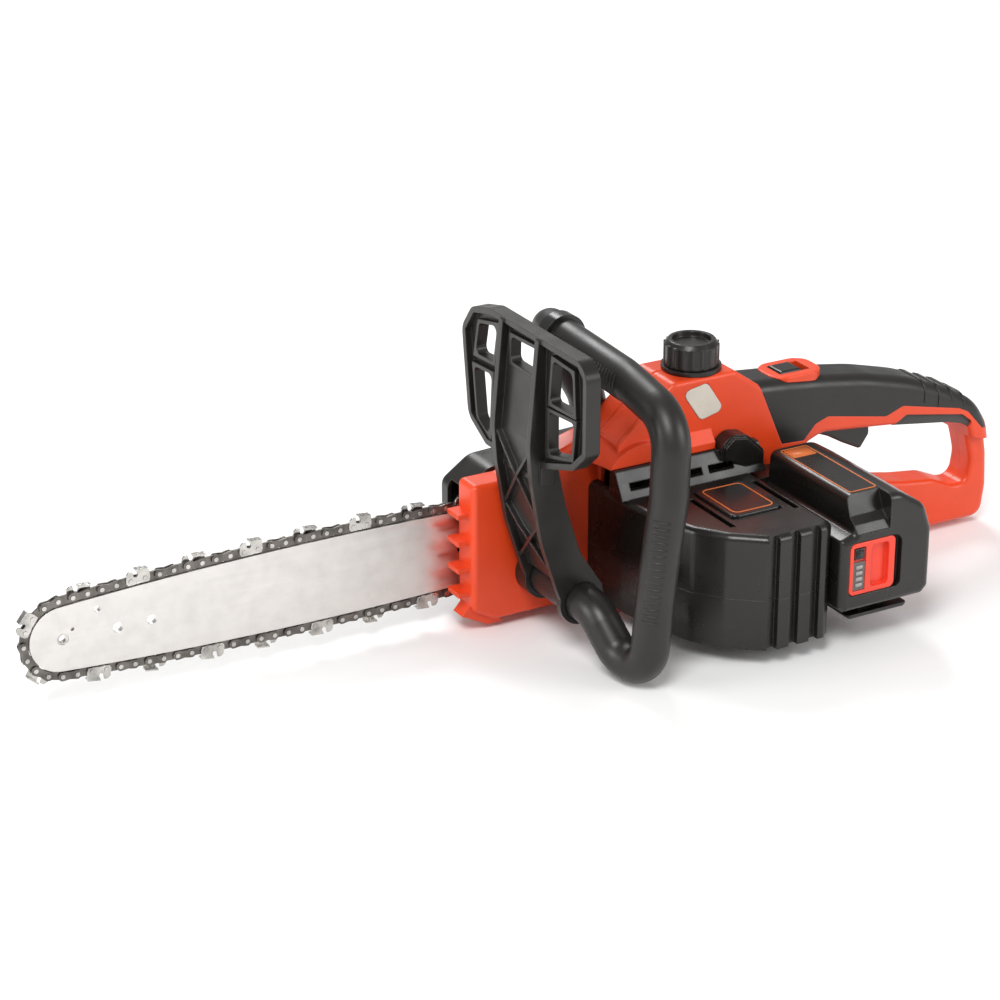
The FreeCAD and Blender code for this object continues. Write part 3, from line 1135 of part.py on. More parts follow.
capBase = housingTop
part("cap_seal", tube("Z", capX, splitY, capBase, capRadius + 1.4, neckRadius + 0.2, 3))
capFloor = capBase + 3 + 0.2
capBody = turned("Z", capX, splitY, capFloor,
                 [(neckRadius + 0.15, 0), (capRadius - 0.6, 0), (capRadius - 0.6, capHeight - 3),
                  (capRadius - 3, capHeight),
                  (capRadius - 5.5, capHeight), (capRadius - 6.4, capHeight - 3.4), (0, capHeight - 3.4),
                  (0, neckTopZ - capFloor + 0.3), (neckRadius + 0.15, neckTopZ - capFloor + 0.3)])
capRibs = []
for number in range(18):
    angle = number * math.tau / 18
    capRibs.append(rod("Z", capX + (capRadius - 1.4) * math.cos(angle),
                       splitY + (capRadius - 1.4) * math.sin(angle),
                       capFloor + 1, 1.4, capHeight - 3.5))
part("oil_cap", fuse([capBody] + capRibs))

# ---------------------------------------------------------------- battery

packOutline = [(batteryFrontX, batteryBottom + 4), (batteryFrontX, batteryShoulder, 2), (145, 82.5, 3),
               (146, batteryTop, 5), (179, batteryTop, 16), (199, 92, 14),
               (batteryRearX, batteryShoulder - 4, 8),
               (batteryRearX, batteryBottom + 5, 5), (batteryRearX - 5, batteryBottom, 3),
               (batteryFrontX + 4, batteryBottom)]
packSolid = prism("XZ", batteryLeftY, batteryRightY - batteryLeftY, packOutline)
packSolid = softened(packSolid, 5, lambda edge: flat(edge, "Y", batteryLeftY))
stepCut = prism("YZ", batteryFrontX - 2, 38.5,
                [(batteryLeftY - 2, batteryShoulder + 3), (batteryLeftY + 0.8, batteryShoulder + 3),
                 (batteryLeftY + 3.5, batteryShoulder + 8.5), (batteryLeftY + 9, batteryShoulder + 13),
                 (batteryLeftY + 14.5, batteryTop), (batteryLeftY + 14.5, batteryTop + 4),
                 (batteryLeftY - 2, batteryTop + 4)])
latchWall = 7.5
cavity = prism("XZ", batteryLeftY + latchWall, batteryRightY - batteryLeftY - latchWall - batteryWall,
               inset([p[:2] for p in packOutline], batteryWall))
upperCavityTrim = block(batteryFrontX, batteryLeftY, batteryShoulder, (38, 20, 30))
cellPitch = 2 * cellRadius + 0.3
firstCellX = batteryFrontX + batteryWall + 0.3
firstCellY = batteryLeftY + latchWall + cellRadius + 0.2
firstCellZ = batteryBottom + batteryWall + cellRadius + 3.6
lyingCells = [rod("X", firstCellX, firstCellY + column * cellPitch, firstCellZ + layer * cellPitch,
                  cellRadius, cellLength)
              for column in range(4) for layer in range(2)]
crossCells = [rod("Y", x, firstCellY + 4, batteryTop - 11.6, cellRadius, cellLength) for x in (157.7, 175.9)]
latchX, latchLength, latchZ, latchHeight, latchRoom = 141, 35, 40.5, 36, 5.1
latchSlot = prism("XZ", batteryLeftY - 1, 6, [(latchX - 0.4, latchZ - 0.4, 4),
                                              (latchX + latchLength + latchRoom, latchZ - 0.4, 4),
                                              (latchX + latchLength + latchRoom,
                                               latchZ + latchHeight + 0.4, 7),
                                              (latchX - 0.4, latchZ + latchHeight + 0.4, 4)])
plugPocket = block(150, batteryRightY - 11, 48, (30, 20, 24))
keelY, keelLength = batteryLeftY + 14, 84
keels = [prism("XZ", keelY, keelLength, [(159, batteryBottom + 0.5), (159, 23.8), (165.7, 23.8),
                                         (165.7, 25.7), (161.7, 25.7),
                                         (161.7, batteryBottom + 0.5)]),
         prism("XZ", keelY, keelLength, [(181, batteryBottom + 0.5), (181, 23.8), (174.3, 23.8),
                                         (174.3, 25.7), (178.3, 25.7),
                                         (178.3, batteryBottom + 0.5)])]
plugWall = block(148, batteryRightY - 13, 46, (34, 12, 28))
packShell = cut(fuse([cut(packSolid, [stepCut, cut(cavity, [upperCavityTrim]), latchSlot]),
                      plugWall] + keels), [plugPocket])
packSplitX = 172
frontOfSplit = block(batteryFrontX - 10, batteryLeftY - 10, 0, (packSplitX - batteryFrontX + 10, 140, 120))
rearOfSplit = block(packSplitX, batteryLeftY - 10, 0, (60, 140, 120))
part("battery_front_shell", common([packShell, frontOfSplit]))
part("battery_rear_shell", common([packShell, rearOfSplit]))
part("battery_cells", group(lyingCells + crossCells))
socketX = 153
socketLeaves = [block(socketX + 5 * number + side, batteryRightY - 10.8, 55, (0.8, 6, 10))
                for number in range(5) for side in (0, 2.2)]
part("battery_contacts", group([fuse([block(151, batteryRightY - 11, 51.5, (28, 1, 17))] + socketLeaves)]))
latchFace = batteryLeftY - 0.2
latchPlate = prism("XZ", latchFace, 5, [(latchX, latchZ, 4), (latchX + latchLength, latchZ, 4),
                                        (latchX + latchLength, latchZ + latchHeight, 4),
                                        (latchX, latchZ + latchHeight, 4)])
latchPlate = softened(latchPlate, 0.9, lambda edge: flat(edge, "Y", latchFace))
fingerPocket = prism("XZ", latchFace - 1, 4.6, [(157, latchZ + 3.5, 3), (171, latchZ + 3.5, 3),
                                                (171, latchZ + latchHeight - 3, 3),
                                                (157, latchZ + latchHeight - 3, 3)])
gaugePocket = block(latchX + 2.6, latchFace - 1, latchZ + 3, (9.4, 2.4, latchHeight - 6))
buttonBore = block(latchX + 3.2, latchFace - 1, latchZ + 24.2, (8.2, 4.8, 8.2))
part("battery_latch", cut(latchPlate, [fingerPocket, gaugePocket, buttonBore]))
gaugeWindow = prism("XZ", latchFace + 0.4, 0.9, [(latchX + 2.9, latchZ + 3.3, 1),
                                                 (latchX + 11.7, latchZ + 3.3, 1),
                                                 (latchX + 11.7, latchZ + 22.8, 1),
                                                 (latchX + 2.9, latchZ + 22.8, 1)])
segments = [block(latchX + 4.6, latchFace + 0.1, latchZ + 5.4 + 4.1 * number,
                  (5.4, 0.8, 3)) for number in range(4)]
part("gauge_panel", fuse([gaugeWindow] + segments))
gaugeButton = softened(block(latchX + 3.5, latchFace + 0.1, latchZ + 24.5, (7.6, 2.6, 7.6)), 0.8,
                       lambda edge: flat(edge, "Y", latchFace + 0.1))
part("gauge_button", gaugeButton)

dockFront, dockRear = coverRearX + fit, 192
dockBack = block(dockFront, batteryRightY + 0.6, 20, (dockRear - dockFront,
                                                      tankLeftY - batteryRightY - 0.6, 66))
dockTray = prism("XZ", batteryLeftY + 6, tankLeftY - batteryLeftY - 6,
                 [(146, 23.4), (146, 20, 3), (dockRear, 20, 3),
                                                                       (dockRear, 23.4)])
dockTray = softened(dockTray, 2.5, lambda edge: flat(edge, "Y", batteryLeftY + 6) and edge.BoundBox.ZMax < 21)
dockRail = prism("XZ", keelY + 1, tankLeftY - keelY - 1,
                 [(166, 23), (166, 26), (162, 26), (162, 28.4), (178, 28.4), (178, 26),
                                                         (174, 26), (174, 23)])
plugSeat = block(151, batteryRightY - 1, 50, (28, 12.5, 20))
part("battery_dock", cut(fuse([dockBack, dockTray, dockRail]), [plugSeat]))
plugBlades = [block(socketX + 5 * number + 0.9, batteryRightY - 9.4, 55.5,
                    (1.2, 6, 9)) for number in range(5)]
part("terminal_block", fuse([block(151, batteryRightY - 4, 50, (28, 15.5, 20))] + plugBlades))
part("case_screws", group(caseScrews + handleScrews + coverScrews))


# ---------------------------------------------------------------- checks and files

doc.recompute()
faults = [item.Name + " " + item.Label for item in doc.Objects if set(item.State) & {"Invalid", "Error"}]
faults += [item.Label for item in pieces if item.Shape.isNull() or not item.Shape.isValid()]
faults += [item.Label for item in pieces if not item.Shape.Solids]
if faults:
    raise RuntimeError("these objects failed: " + ", ".join(faults))
os.makedirs("parts", exist_ok=True)
for item in pieces:
    item.Shape.exportStep("parts/%s.step" % item.Label)
box = Part.makeCompound([item.Shape for item in pieces]).BoundBox
print(len(pieces), "sub-parts;", "X %.1f %.1f  Y %.1f %.1f  Z %.1f %.1f" % (
    box.XMin, box.XMax, box.YMin, box.YMax, box.ZMin, box.ZMax))
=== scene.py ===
import bpy
import bmesh
import math
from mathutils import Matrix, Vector
from mathutils.bvhtree import BVHTree


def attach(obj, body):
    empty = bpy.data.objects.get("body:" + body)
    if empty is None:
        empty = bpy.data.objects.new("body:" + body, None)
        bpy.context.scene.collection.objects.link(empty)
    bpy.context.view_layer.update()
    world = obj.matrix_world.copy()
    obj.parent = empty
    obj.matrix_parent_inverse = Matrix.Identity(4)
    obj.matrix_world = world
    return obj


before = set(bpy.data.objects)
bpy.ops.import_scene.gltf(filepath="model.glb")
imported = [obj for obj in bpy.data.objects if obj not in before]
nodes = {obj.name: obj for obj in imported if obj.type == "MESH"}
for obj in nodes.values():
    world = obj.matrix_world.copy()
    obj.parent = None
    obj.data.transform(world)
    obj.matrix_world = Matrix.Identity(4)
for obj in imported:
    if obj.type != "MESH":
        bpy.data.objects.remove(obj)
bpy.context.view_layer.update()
print("frame loaded with", len(nodes), "parts")

# camera and studio

studio = {
    "cameraPlace": (-0.8955, -1.4954, 0.8513), "cameraAzimuth": -29.35, "cameraElevation": 23.36, "lens": 108,
    "sensorWidth": 36, "clipEnd": 50, "lampTarget": (0, 0, 0.08), "floorReach": 9, "floorRoughness": 0.9,
    "floorColour": (0.93, 0.93, 0.925, 1), "worldColour": (1, 1, 1, 1), "worldStrength": 0.42,
    "lamps": [("keyLamp", (-1.2, -1.3, 2.3), 1.1, 46), ("fillLamp", (1.6, -1.7, 1.1), 1.2, 20),
              ("backLamp", (0.5, 1.8, 2.0), 1.1, 34), ("frontLamp", (-1.9, 0.3, 0.8), 1.0, 16)],
}


def aim(thing, target):
    direction = Vector(target) - thing.location
    thing.rotation_euler = direction.to_track_quat("-Z", "Y").to_euler()


def makeStudio():
    azimuth, elevation = math.radians(studio["cameraAzimuth"]), math.radians(studio["cameraElevation"])
    back = Vector((math.sin(azimuth) * math.cos(elevation), -math.cos(azimuth) * math.cos(elevation),
                   math.sin(elevation)))
    cameraData = bpy.data.cameras.new("camera")
    cameraData.lens = studio["lens"]
    cameraData.sensor_width = studio["sensorWidth"]
    cameraData.clip_end = studio["clipEnd"]
    camera = bpy.data.objects.new("camera", cameraData)
    camera.location = studio["cameraPlace"]
    camera.rotation_euler = (-back).to_track_quat("-Z", "Y").to_euler()
    bpy.context.collection.objects.link(camera)
    bpy.context.scene.camera = camera

    for name, place, size, power in studio["lamps"]:
        lampData = bpy.data.lights.new(name, "AREA")
        lampData.shape = "DISK"
        lampData.size = size
        lampData.energy = power
        lamp = bpy.data.objects.new(name, lampData)
        lamp.location = place
        aim(lamp, studio["lampTarget"])
        bpy.context.collection.objects.link(lamp)

    world = bpy.data.worlds.new("studioWorld")
    world.use_nodes = True
    sky = world.node_tree.nodes["Background"]
    sky.inputs["Color"].default_value = studio["worldColour"]
    sky.inputs["Strength"].default_value = studio["worldStrength"]
    bpy.context.scene.world = world
    bpy.context.scene.view_settings.view_transform = "Standard"

    floorMesh = bpy.data.meshes.new("studioFloor")
    reach = studio["floorReach"]
    corners = [(-reach, -reach, 0), (reach, -reach, 0), (reach, reach, 0), (-reach, reach, 0)]
    floorMesh.from_pydata(corners, [], [(0, 1, 2, 3)])
    floor = bpy.data.objects.new("studioFloor", floorMesh)
    bpy.context.collection.objects.link(floor)
    paper = bpy.data.materials.new("studioPaper")
    paper.use_nodes = True
    shader = paper.node_tree.nodes["Principled BSDF"]
    shader.inputs["Base Color"].default_value = studio["floorColour"]
    shader.inputs["Roughness"].default_value = studio["floorRoughness"]
    floorMesh.materials.append(paper)


makeStudio()
print("studio ready")

# finishes. Sizes are in metres, colours are linear

# each finish's edge value sets how much lighter its colour is painted along edges: a painted edge highlight
finishes = {
    "orangeShell": {"colour": (0.76, 0.058, 0.010), "roughness": 0.36, "grain": 1400,
                    "grainDepth": 0.00004, "mottle": 0.09, "edge": 0.09, "softEdge": 0.0011},
    "blackShell": {"colour": (0.0100, 0.0086, 0.0072), "roughness": 0.29, "grain": 1100,
                   "grainDepth": 0.00007, "mottle": 0.22, "edge": 0.05, "softEdge": 0.0011},
    "blackGuard": {"colour": (0.0125, 0.0108, 0.0092), "roughness": 0.33, "grain": 1000,
                   "grainDepth": 0.00005, "mottle": 0.22, "edge": 0.055, "softEdge": 0.0009},
    "gripRubber": {"colour": (0.0115, 0.0100, 0.0088), "roughness": 0.38, "grain": 1700,
                   "grainDepth": 0.00009, "mottle": 0.2, "edge": 0.03, "softEdge": 0.001},
    "darkInsert": {"colour": (0.05, 0.047, 0.044), "roughness": 0.6, "grain": 1500,
                   "grainDepth": 0.00006, "mottle": 0.15, "edge": 0.05, "softEdge": 0.0008},
    "glossBlack": {"colour": (0.012, 0.0115, 0.011), "roughness": 0.22, "grain": 900,
                   "grainDepth": 0.00001, "mottle": 0.15, "edge": 0.03, "softEdge": 0.0006},
    "latchRed": {"colour": (0.8, 0.05, 0.02), "roughness": 0.33, "grain": 1200,
                 "grainDepth": 0.00002, "mottle": 0.06, "edge": 0.12, "softEdge": 0.0007},
    "gaugeGrey": {"colour": (0.14, 0.12, 0.115), "roughness": 0.25, "grain": 900,
                  "grainDepth": 0.00001, "mottle": 0.3, "edge": 0.05, "softEdge": 0.0003},
    "gaugePale": {"colour": (0.38, 0.35, 0.33), "roughness": 0.3, "grain": 900,
                  "grainDepth": 0.00001, "mottle": 0.12, "edge": 0.05, "softEdge": 0.0002},
    "orangeInk": {"colour": (0.62, 0.15, 0.03), "roughness": 0.4, "grain": 1500,
                  "grainDepth": 0.00001, "mottle": 0.1, "edge": 0.03, "softEdge": 0.0001},
    "windowSmoke": {"colour": (0.66, 0.6, 0.52), "roughness": 0.3, "grain": 700,
                    "grainDepth": 0.00002, "mottle": 0.1, "edge": 0.05, "softEdge": 0.001},
    "tankNatural": {"colour": (0.6, 0.56, 0.45), "roughness": 0.35, "grain": 700,
                    "grainDepth": 0.00002, "mottle": 0.1, "edge": 0.03, "softEdge": 0.001},
    "boardGreen": {"colour": (0.02, 0.12, 0.04), "roughness": 0.4, "grain": 600,
                   "grainDepth": 0.00002, "mottle": 0.3, "edge": 0.02, "softEdge": 0.0003},
    "cellWrap": {"colour": (0.03, 0.12, 0.3), "roughness": 0.35, "grain": 500,
                 "grainDepth": 0.00001, "mottle": 0.1, "edge": 0.02, "softEdge": 0.0005},
}

metals = {
    "barSteel": {"colour": (0.74, 0.715, 0.69), "roughness": 0.36, "brush": (6, 900, 420),
                 "depth": 0.000012, "stain": 0.1, "softEdge": 0.0003},
    "chainDark": {"colour": (0.2, 0.185, 0.17), "roughness": 0.34, "brush": (500, 500, 500),
                  "depth": 0.00002, "stain": 0.65, "softEdge": 0.0002},
    "chainBright": {"colour": (0.62, 0.6, 0.57), "roughness": 0.22, "brush": (700, 700, 200),
                    "depth": 0.00001, "stain": 0.55, "softEdge": 0.0002},
    "machined": {"colour": (0.5, 0.5, 0.5), "roughness": 0.3, "brush": (300, 40, 300),
                 "depth": 0.00001, "stain": 0.25, "softEdge": 0.0003},
    "motorSteel": {"colour": (0.16, 0.16, 0.17), "roughness": 0.42, "brush": (200, 60, 200),
                   "depth": 0.00002, "stain": 0.4, "softEdge": 0.0005},
    "contactBrass": {"colour": (0.72, 0.5, 0.2), "roughness": 0.25, "brush": (300, 300, 40),
                     "depth": 0.00001, "stain": 0.3, "softEdge": 0.0002},
}

plasticLook = {"patchScale": 22, "patchDetail": 5, "smearScale": 60, "smearDetail": 4,
               "smearRange": (-0.05, 0.07), "grainDetail": 2, "bumpStrength": 0.55, "edgeHighlightShare": 0.75,
               "edgeHighlightAtLeast": 0.4}
metalLook = {"patchScale": 90, "patchDetail": 5, "patchRange": (0.25, 0.6), "lineScale": 1, "lineDetail": 3,
             "roughRange": (-0.08, 0.12), "bumpStrength": 0.5}
edgeLook = {"samples": 4, "flattest": 0.995, "sharpest": 0.72}


def startMaterial(name, metallic):
    material = bpy.data.materials.new(name)
    material.use_nodes = True
    tree = material.node_tree
    shader = tree.nodes["Principled BSDF"]
    shader.inputs["Metallic"].default_value = metallic
    return material, tree, shader


def add(tree, kind, **settings):
    node = tree.nodes.new(kind)
    for key, value in settings.items():
        if key.startswith("set_"):
            node.inputs[key[4:].replace("_", " ")].default_value = value
        else:
            setattr(node, key, value)
    return node


def noise(tree, place, scale, detail, stretch=None):
    node = add(tree, "ShaderNodeTexNoise", set_Scale=scale, set_Detail=detail)
    if stretch:
        mapping = add(tree, "ShaderNodeMapping")
        mapping.inputs["Scale"].default_value = stretch
        tree.links.new(place, mapping.inputs["Vector"])
        place = mapping.outputs["Vector"]
    tree.links.new(place, node.inputs["Vector"])
    return node.outputs["Fac"]


def between(tree, value, low, high, fromLow=0.3, fromHigh=0.7):
    node = add(tree, "ShaderNodeMapRange")
    for key, number in (("From Min", fromLow), ("From Max", fromHigh), ("To Min", low), ("To Max", high)):
        node.inputs[key].default_value = number
    tree.links.new(value, node.inputs["Value"])
    return node.outputs["Result"]


def blendColours(tree, share, first, second):
    node = add(tree, "ShaderNodeMix", data_type="RGBA")
    for socket, value in ((node.inputs[6], first), (node.inputs[7], second)):
        if isinstance(value, tuple):
            socket.default_value = (*value[:3], 1)
        else:
            tree.links.new(value, socket)
    tree.links.new(share, node.inputs[0])
    return node.outputs[2]


def softNormal(tree, radius):
    edge = add(tree, "ShaderNodeBevel", samples=edgeLook["samples"])
    edge.inputs["Radius"].default_value = radius
    return edge.outputs["Normal"]


# share of a point that lies on an edge, from the bevel normal; it carries the painted edge highlight
def edgeShare(tree, soft, strength):
    geometry = add(tree, "ShaderNodeNewGeometry")
    dot = add(tree, "ShaderNodeVectorMath", operation="DOT_PRODUCT")
    tree.links.new(soft, dot.inputs[0])
    tree.links.new(geometry.outputs["Normal"], dot.inputs[1])
    return between(tree, dot.outputs["Value"], strength, 0, edgeLook["sharpest"], edgeLook["flattest"])


def moulded(name, colour, roughness, grain, grainDepth, mottle, edge, softEdge):
    material, tree, shader = startMaterial(name, 0)
    place = add(tree, "ShaderNodeTexCoord").outputs["Object"]
    soft = softNormal(tree, softEdge)
    patches = noise(tree, place, plasticLook["patchScale"], plasticLook["patchDetail"])
    dark = tuple(c * (1 - mottle) for c in colour)
    light = tuple(min(1, c * (1 + mottle)) for c in colour)
    tone = blendColours(tree, between(tree, patches, 0, 1), dark, light)
    # painted highlight: the colour is lightened along every edge the bevel normal finds, standing in for
    # light caught on the edges
    least = plasticLook["edgeHighlightAtLeast"]
    edgeHighlightColour = tuple(min(1, c + edge * (least + (1 - least) * c)) for c in colour)
    tone = blendColours(tree, edgeShare(tree, soft, plasticLook["edgeHighlightShare"]), tone, edgeHighlightColour)
    tree.links.new(tone, shader.inputs["Base Color"])
    smears = noise(tree, place, plasticLook["smearScale"], plasticLook["smearDetail"])
    low, high = plasticLook["smearRange"]
    tree.links.new(between(tree, smears, roughness + low, roughness + high), shader.inputs["Roughness"])
    bump = add(tree, "ShaderNodeBump", set_Strength=plasticLook["bumpStrength"])
    bump.inputs["Distance"].default_value = grainDepth
    tree.links.new(noise(tree, place, grain, plasticLook["grainDetail"]), bump.inputs["Height"])
    tree.links.new(soft, bump.inputs["Normal"])
    tree.links.new(bump.outputs["Normal"], shader.inputs["Normal"])
    return material


def metal(name, colour, roughness, brush, depth, stain, softEdge):
    material, tree, shader = startMaterial(name, 1)
    place = add(tree, "ShaderNodeTexCoord").outputs["Object"]
    soft = softNormal(tree, softEdge)
    lines = noise(tree, place, metalLook["lineScale"], metalLook["lineDetail"], brush)
    patches = noise(tree, place, metalLook["patchScale"], metalLook["patchDetail"])
    darker = tuple(c * (1 - stain) for c in colour)
    tone = blendColours(tree, between(tree, patches, 0, 1, *metalLook["patchRange"]), darker, colour)
    tree.links.new(tone, shader.inputs["Base Color"])
    low, high = metalLook["roughRange"]
    tree.links.new(between(tree, lines, roughness + low, roughness + high), shader.inputs["Roughness"])
    bump = add(tree, "ShaderNodeBump", set_Strength=metalLook["bumpStrength"])
    bump.inputs["Distance"].default_value = depth
    tree.links.new(lines, bump.inputs["Height"])
    tree.links.new(soft, bump.inputs["Normal"])
    tree.links.new(bump.outputs["Normal"], shader.inputs["Normal"])
    return material


made = {name: moulded(name, **values) for name, values in finishes.items()}
made.update({name: metal(name, **values) for name, values in metals.items()})
print("finishes ready:", len(made))

finishOf = {
    "orangeShell": ["housing_right", "housing_left", "rear_handle_right", "rear_handle_left", "lock_ring",
                    "chain_catcher", "tension_wheel"],
    "blackShell": ["upper_motor_cover", "lower_motor_cover", "sprocket_cover", "battery_front_shell",
                   "battery_rear_shell", "battery_dock", "oil_cap", "lock_off_button", "trigger",
                   "terminal_block", "switch", "motor_mount", "lock_knob", "cooling_fan", "filler_neck"],
    "blackGuard": ["hand_guard"],
    "gripRubber": ["handle_overmould", "front_handle", "cap_seal"],
    "darkInsert": ["handle_insert"],
    "glossBlack": ["handle_collar", "badge_plate", "gauge_button"],
    "latchRed": ["battery_latch"],
    "gaugeGrey": ["gauge_panel"],
    "windowSmoke": ["oil_window"],
    "tankNatural": ["oil_tank", "oil_pump"],
    "boardGreen": ["control_board"],
    "cellWrap": ["battery_cells"],
    "barSteel": ["guide_bar", "guide_plate"],
    "chainDark": ["chain_drive_links", "chain_tie_straps"],
    "chainBright": ["chain_left_cutters", "chain_right_cutters", "chain_rivets", "nose_sprocket"],
    "machined": ["output_gear", "output_shaft", "spindle_bearings", "drive_sprocket", "rotor_shaft",
                 "motor_bearings", "bar_studs", "guard_pin", "tension_slider", "case_screws"],
    "motorSteel": ["motor_can", "rotor_core", "motor_magnets"],
    "contactBrass": ["battery_contacts"],
}
for finish, names in finishOf.items():
    for name in names:
        mesh = nodes[name].data
        mesh.materials.clear()
        mesh.materials.append(made[finish])
print("finishes laid on the parts")

# pieces that the CAD parts carry. Each is built in place, in metres


def show(name, mesh, finish, body):
    piece = bpy.data.objects.new(name, mesh)
    bpy.context.collection.objects.link(piece)
    mesh.materials.clear()
    mesh.materials.append(made[finish])
    for polygon in mesh.polygons:
        polygon.use_smooth = True
    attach(piece, body)
    return piece


def finished(name, work):
    bmesh.ops.recalc_face_normals(work, faces=work.faces[:])
    mesh = bpy.data.meshes.new(name)
    work.to_mesh(mesh)
    work.free()
    return mesh


# raised beads round a tube, repeated along a line

beadSockets = {"Beads": "NodeSocketInt", "Start": "NodeSocketVector", "End": "NodeSocketVector",
               "Turn": "NodeSocketVector", "Radius": "NodeSocketFloat", "Thickness": "NodeSocketFloat",
               "From Angle": "NodeSocketFloat", "Sweep": "NodeSocketFloat", "Finish": "NodeSocketMaterial"}

beadPoints = {"along": 20, "round": 8}


def makeBeadTree():
    tree = bpy.data.node_groups.new("beadRow", "GeometryNodeTree")
    for name, kind in beadSockets.items():
        tree.interface.new_socket(name, in_out="INPUT", socket_type=kind)
    tree.interface.new_socket("Geometry", in_out="OUTPUT", socket_type="NodeSocketGeometry")
    given = tree.nodes.new("NodeGroupInput").outputs
    line = add(tree, "GeometryNodeMeshLine", mode="END_POINTS")
    arc = add(tree, "GeometryNodeCurveArc", set_Resolution=beadPoints["along"])
    section = add(tree, "GeometryNodeCurvePrimitiveCircle", set_Resolution=beadPoints["round"])
    bead = add(tree, "GeometryNodeCurveToMesh")
    bead.inputs["Fill Caps"].default_value = True
    turn = add(tree, "FunctionNodeEulerToRotation")
    copies = add(tree, "GeometryNodeInstanceOnPoints")
    real = add(tree, "GeometryNodeRealizeInstances")
    paint = add(tree, "GeometryNodeSetMaterial")
    result = tree.nodes.new("NodeGroupOutput")
    for source, target in ((given["Beads"], line.inputs["Count"]),
                           (given["Start"], line.inputs["Start Location"]),
                           (given["End"], line.inputs["Offset"]), (given["Radius"], arc.inputs["Radius"]),
                           (given["From Angle"], arc.inputs["Start Angle"]),
                           (given["Sweep"], arc.inputs["Sweep Angle"]),
                           (given["Thickness"], section.inputs["Radius"]), (given["Turn"], turn.inputs[0]),
                           (arc.outputs["Curve"], bead.inputs["Curve"]),
                           (section.outputs["Curve"], bead.inputs["Profile Curve"]),
                           (line.outputs["Mesh"], copies.inputs["Points"]),
                           (bead.outputs["Mesh"], copies.inputs["Instance"]),
                           (turn.outputs[0], copies.inputs["Rotation"]),
                           (copies.outputs["Instances"], real.inputs["Geometry"]),
                           (real.outputs["Geometry"], paint.inputs["Geometry"]),
                           (given["Finish"], paint.inputs["Material"]),
                           (paint.outputs["Geometry"], result.inputs["Geometry"])):
        tree.links.new(source, target)
    return tree


beadTree = makeBeadTree()


def beadRow(name, values, finish, body):
    maker = bpy.data.objects.new(name + "Maker", bpy.data.meshes.new(name + "Seed"))
    bpy.context.collection.objects.link(maker)
    modifier = maker.modifiers.new("repeat", "NODES")
    modifier.node_group = beadTree
    values = dict(values, Finish=made[finish])
    for socket in beadTree.interface.items_tree:
        if socket.in_out == "INPUT":
            modifier[socket.identifier] = values[socket.name]
    bpy.context.view_layer.update()
    mesh = bpy.data.meshes.new_from_object(maker.evaluated_get(bpy.context.evaluated_depsgraph_get()))
    bpy.data.objects.remove(maker)
    return show(name, mesh, finish, body)


def surfaceOf(name):
    piece = nodes[name]
    corners = [piece.matrix_world @ vertex.co for vertex in piece.data.vertices]
    return BVHTree.FromPolygons(corners, [tuple(polygon.vertices) for polygon in piece.data.polygons])


search = {"reach": 0.03, "rounds": 2}


def tubeCentre(surface, near, across):
    centre = Vector(near)
    for direction in across * search["rounds"]:
        direction = Vector(direction)
        hits = [surface.ray_cast(centre + side * search["reach"] * direction, -side * direction)[0]
                for side in (-1, 1)]
        centre += ((hits[0] + hits[1]) / 2 - centre).dot(direction) * direction
    return centre


handleTube = surfaceOf("front_handle")


def layBeads(name, ends, across, row):
    start, end = [tubeCentre(handleTube, near, across) for near in ends]
    return beadRow(name, dict(row, Start=start, End=end), "gripRubber", "saw")


gripBeads = {"ends": ((0.020, 0.046, 0.189), (0.020, -0.030, 0.186)), "across": ((0, 0, 1), (1, 0, 0)),
             "row": {"Beads": 24, "Turn": (math.radians(90), 0, 0), "Radius": 0.0121, "Thickness": 0.00095,
                     "From Angle": math.radians(145), "Sweep": math.radians(140)}}
layBeads("frontHandleRings", **gripBeads)

legBeads = {"ends": ((0.0145, -0.084, 0.116), (0.0075, -0.084, 0.050)), "across": ((0, 1, 0), (1, 0, 0)),
            "row": {"Beads": 16, "Turn": (0, math.radians(6), 0), "Radius": 0.0121, "Thickness": 0.00085,
                    "From Angle": math.radians(200), "Sweep": math.radians(50)}}
layBeads("frontHandleTicks", **legBeads)
print("front handle beads ready")

# printed outlines on the badge and the battery label

cornerSteps = 8
sunk = 0.0001
tightest = 0.0004


def roundedLoop(low, high, radius):
    points = []
    for cornerX, cornerY, start in ((high[0], high[1], 0), (low[0], high[1], 90), (low[0], low[1], 180),
                                    (high[0], low[1], 270)):
        centreX = cornerX - math.copysign(radius, cornerX - (low[0] + high[0]) / 2)
        centreY = cornerY - math.copysign(radius, cornerY - (low[1] + high[1]) / 2)
        for step in range(cornerSteps + 1):
            angle = math.radians(start + step * 90 / cornerSteps)
            points.append((centreX + radius * math.cos(angle), centreY + radius * math.sin(angle)))
    return points


def raisedOutline(name, low, high, radius, width, surface, rise, body):
    work = bmesh.new()
    outer = roundedLoop(low, high, radius)
    inner = roundedLoop((low[0] + width, low[1] + width), (high[0] - width, high[1] - width),
                        max(radius - width, tightest))
    low, high = surface - sunk, surface + rise
    rings = [[work.verts.new((x, y, z)) for x, y in loop]
             for loop, z in ((outer, low), (outer, high), (inner, high), (inner, low))]
    count = len(outer)
    for first, second in zip(rings, rings[1:] + rings[:1]):
        for index in range(count):
            following = (index + 1) % count
            work.faces.new((first[index], first[following], second[following], second[index]))
    return show(name, finished(name, work), "orangeInk", body)


def onTop(across, along, out):
    return across, along, out


def onLeft(across, along, out):
    return across, -out, along


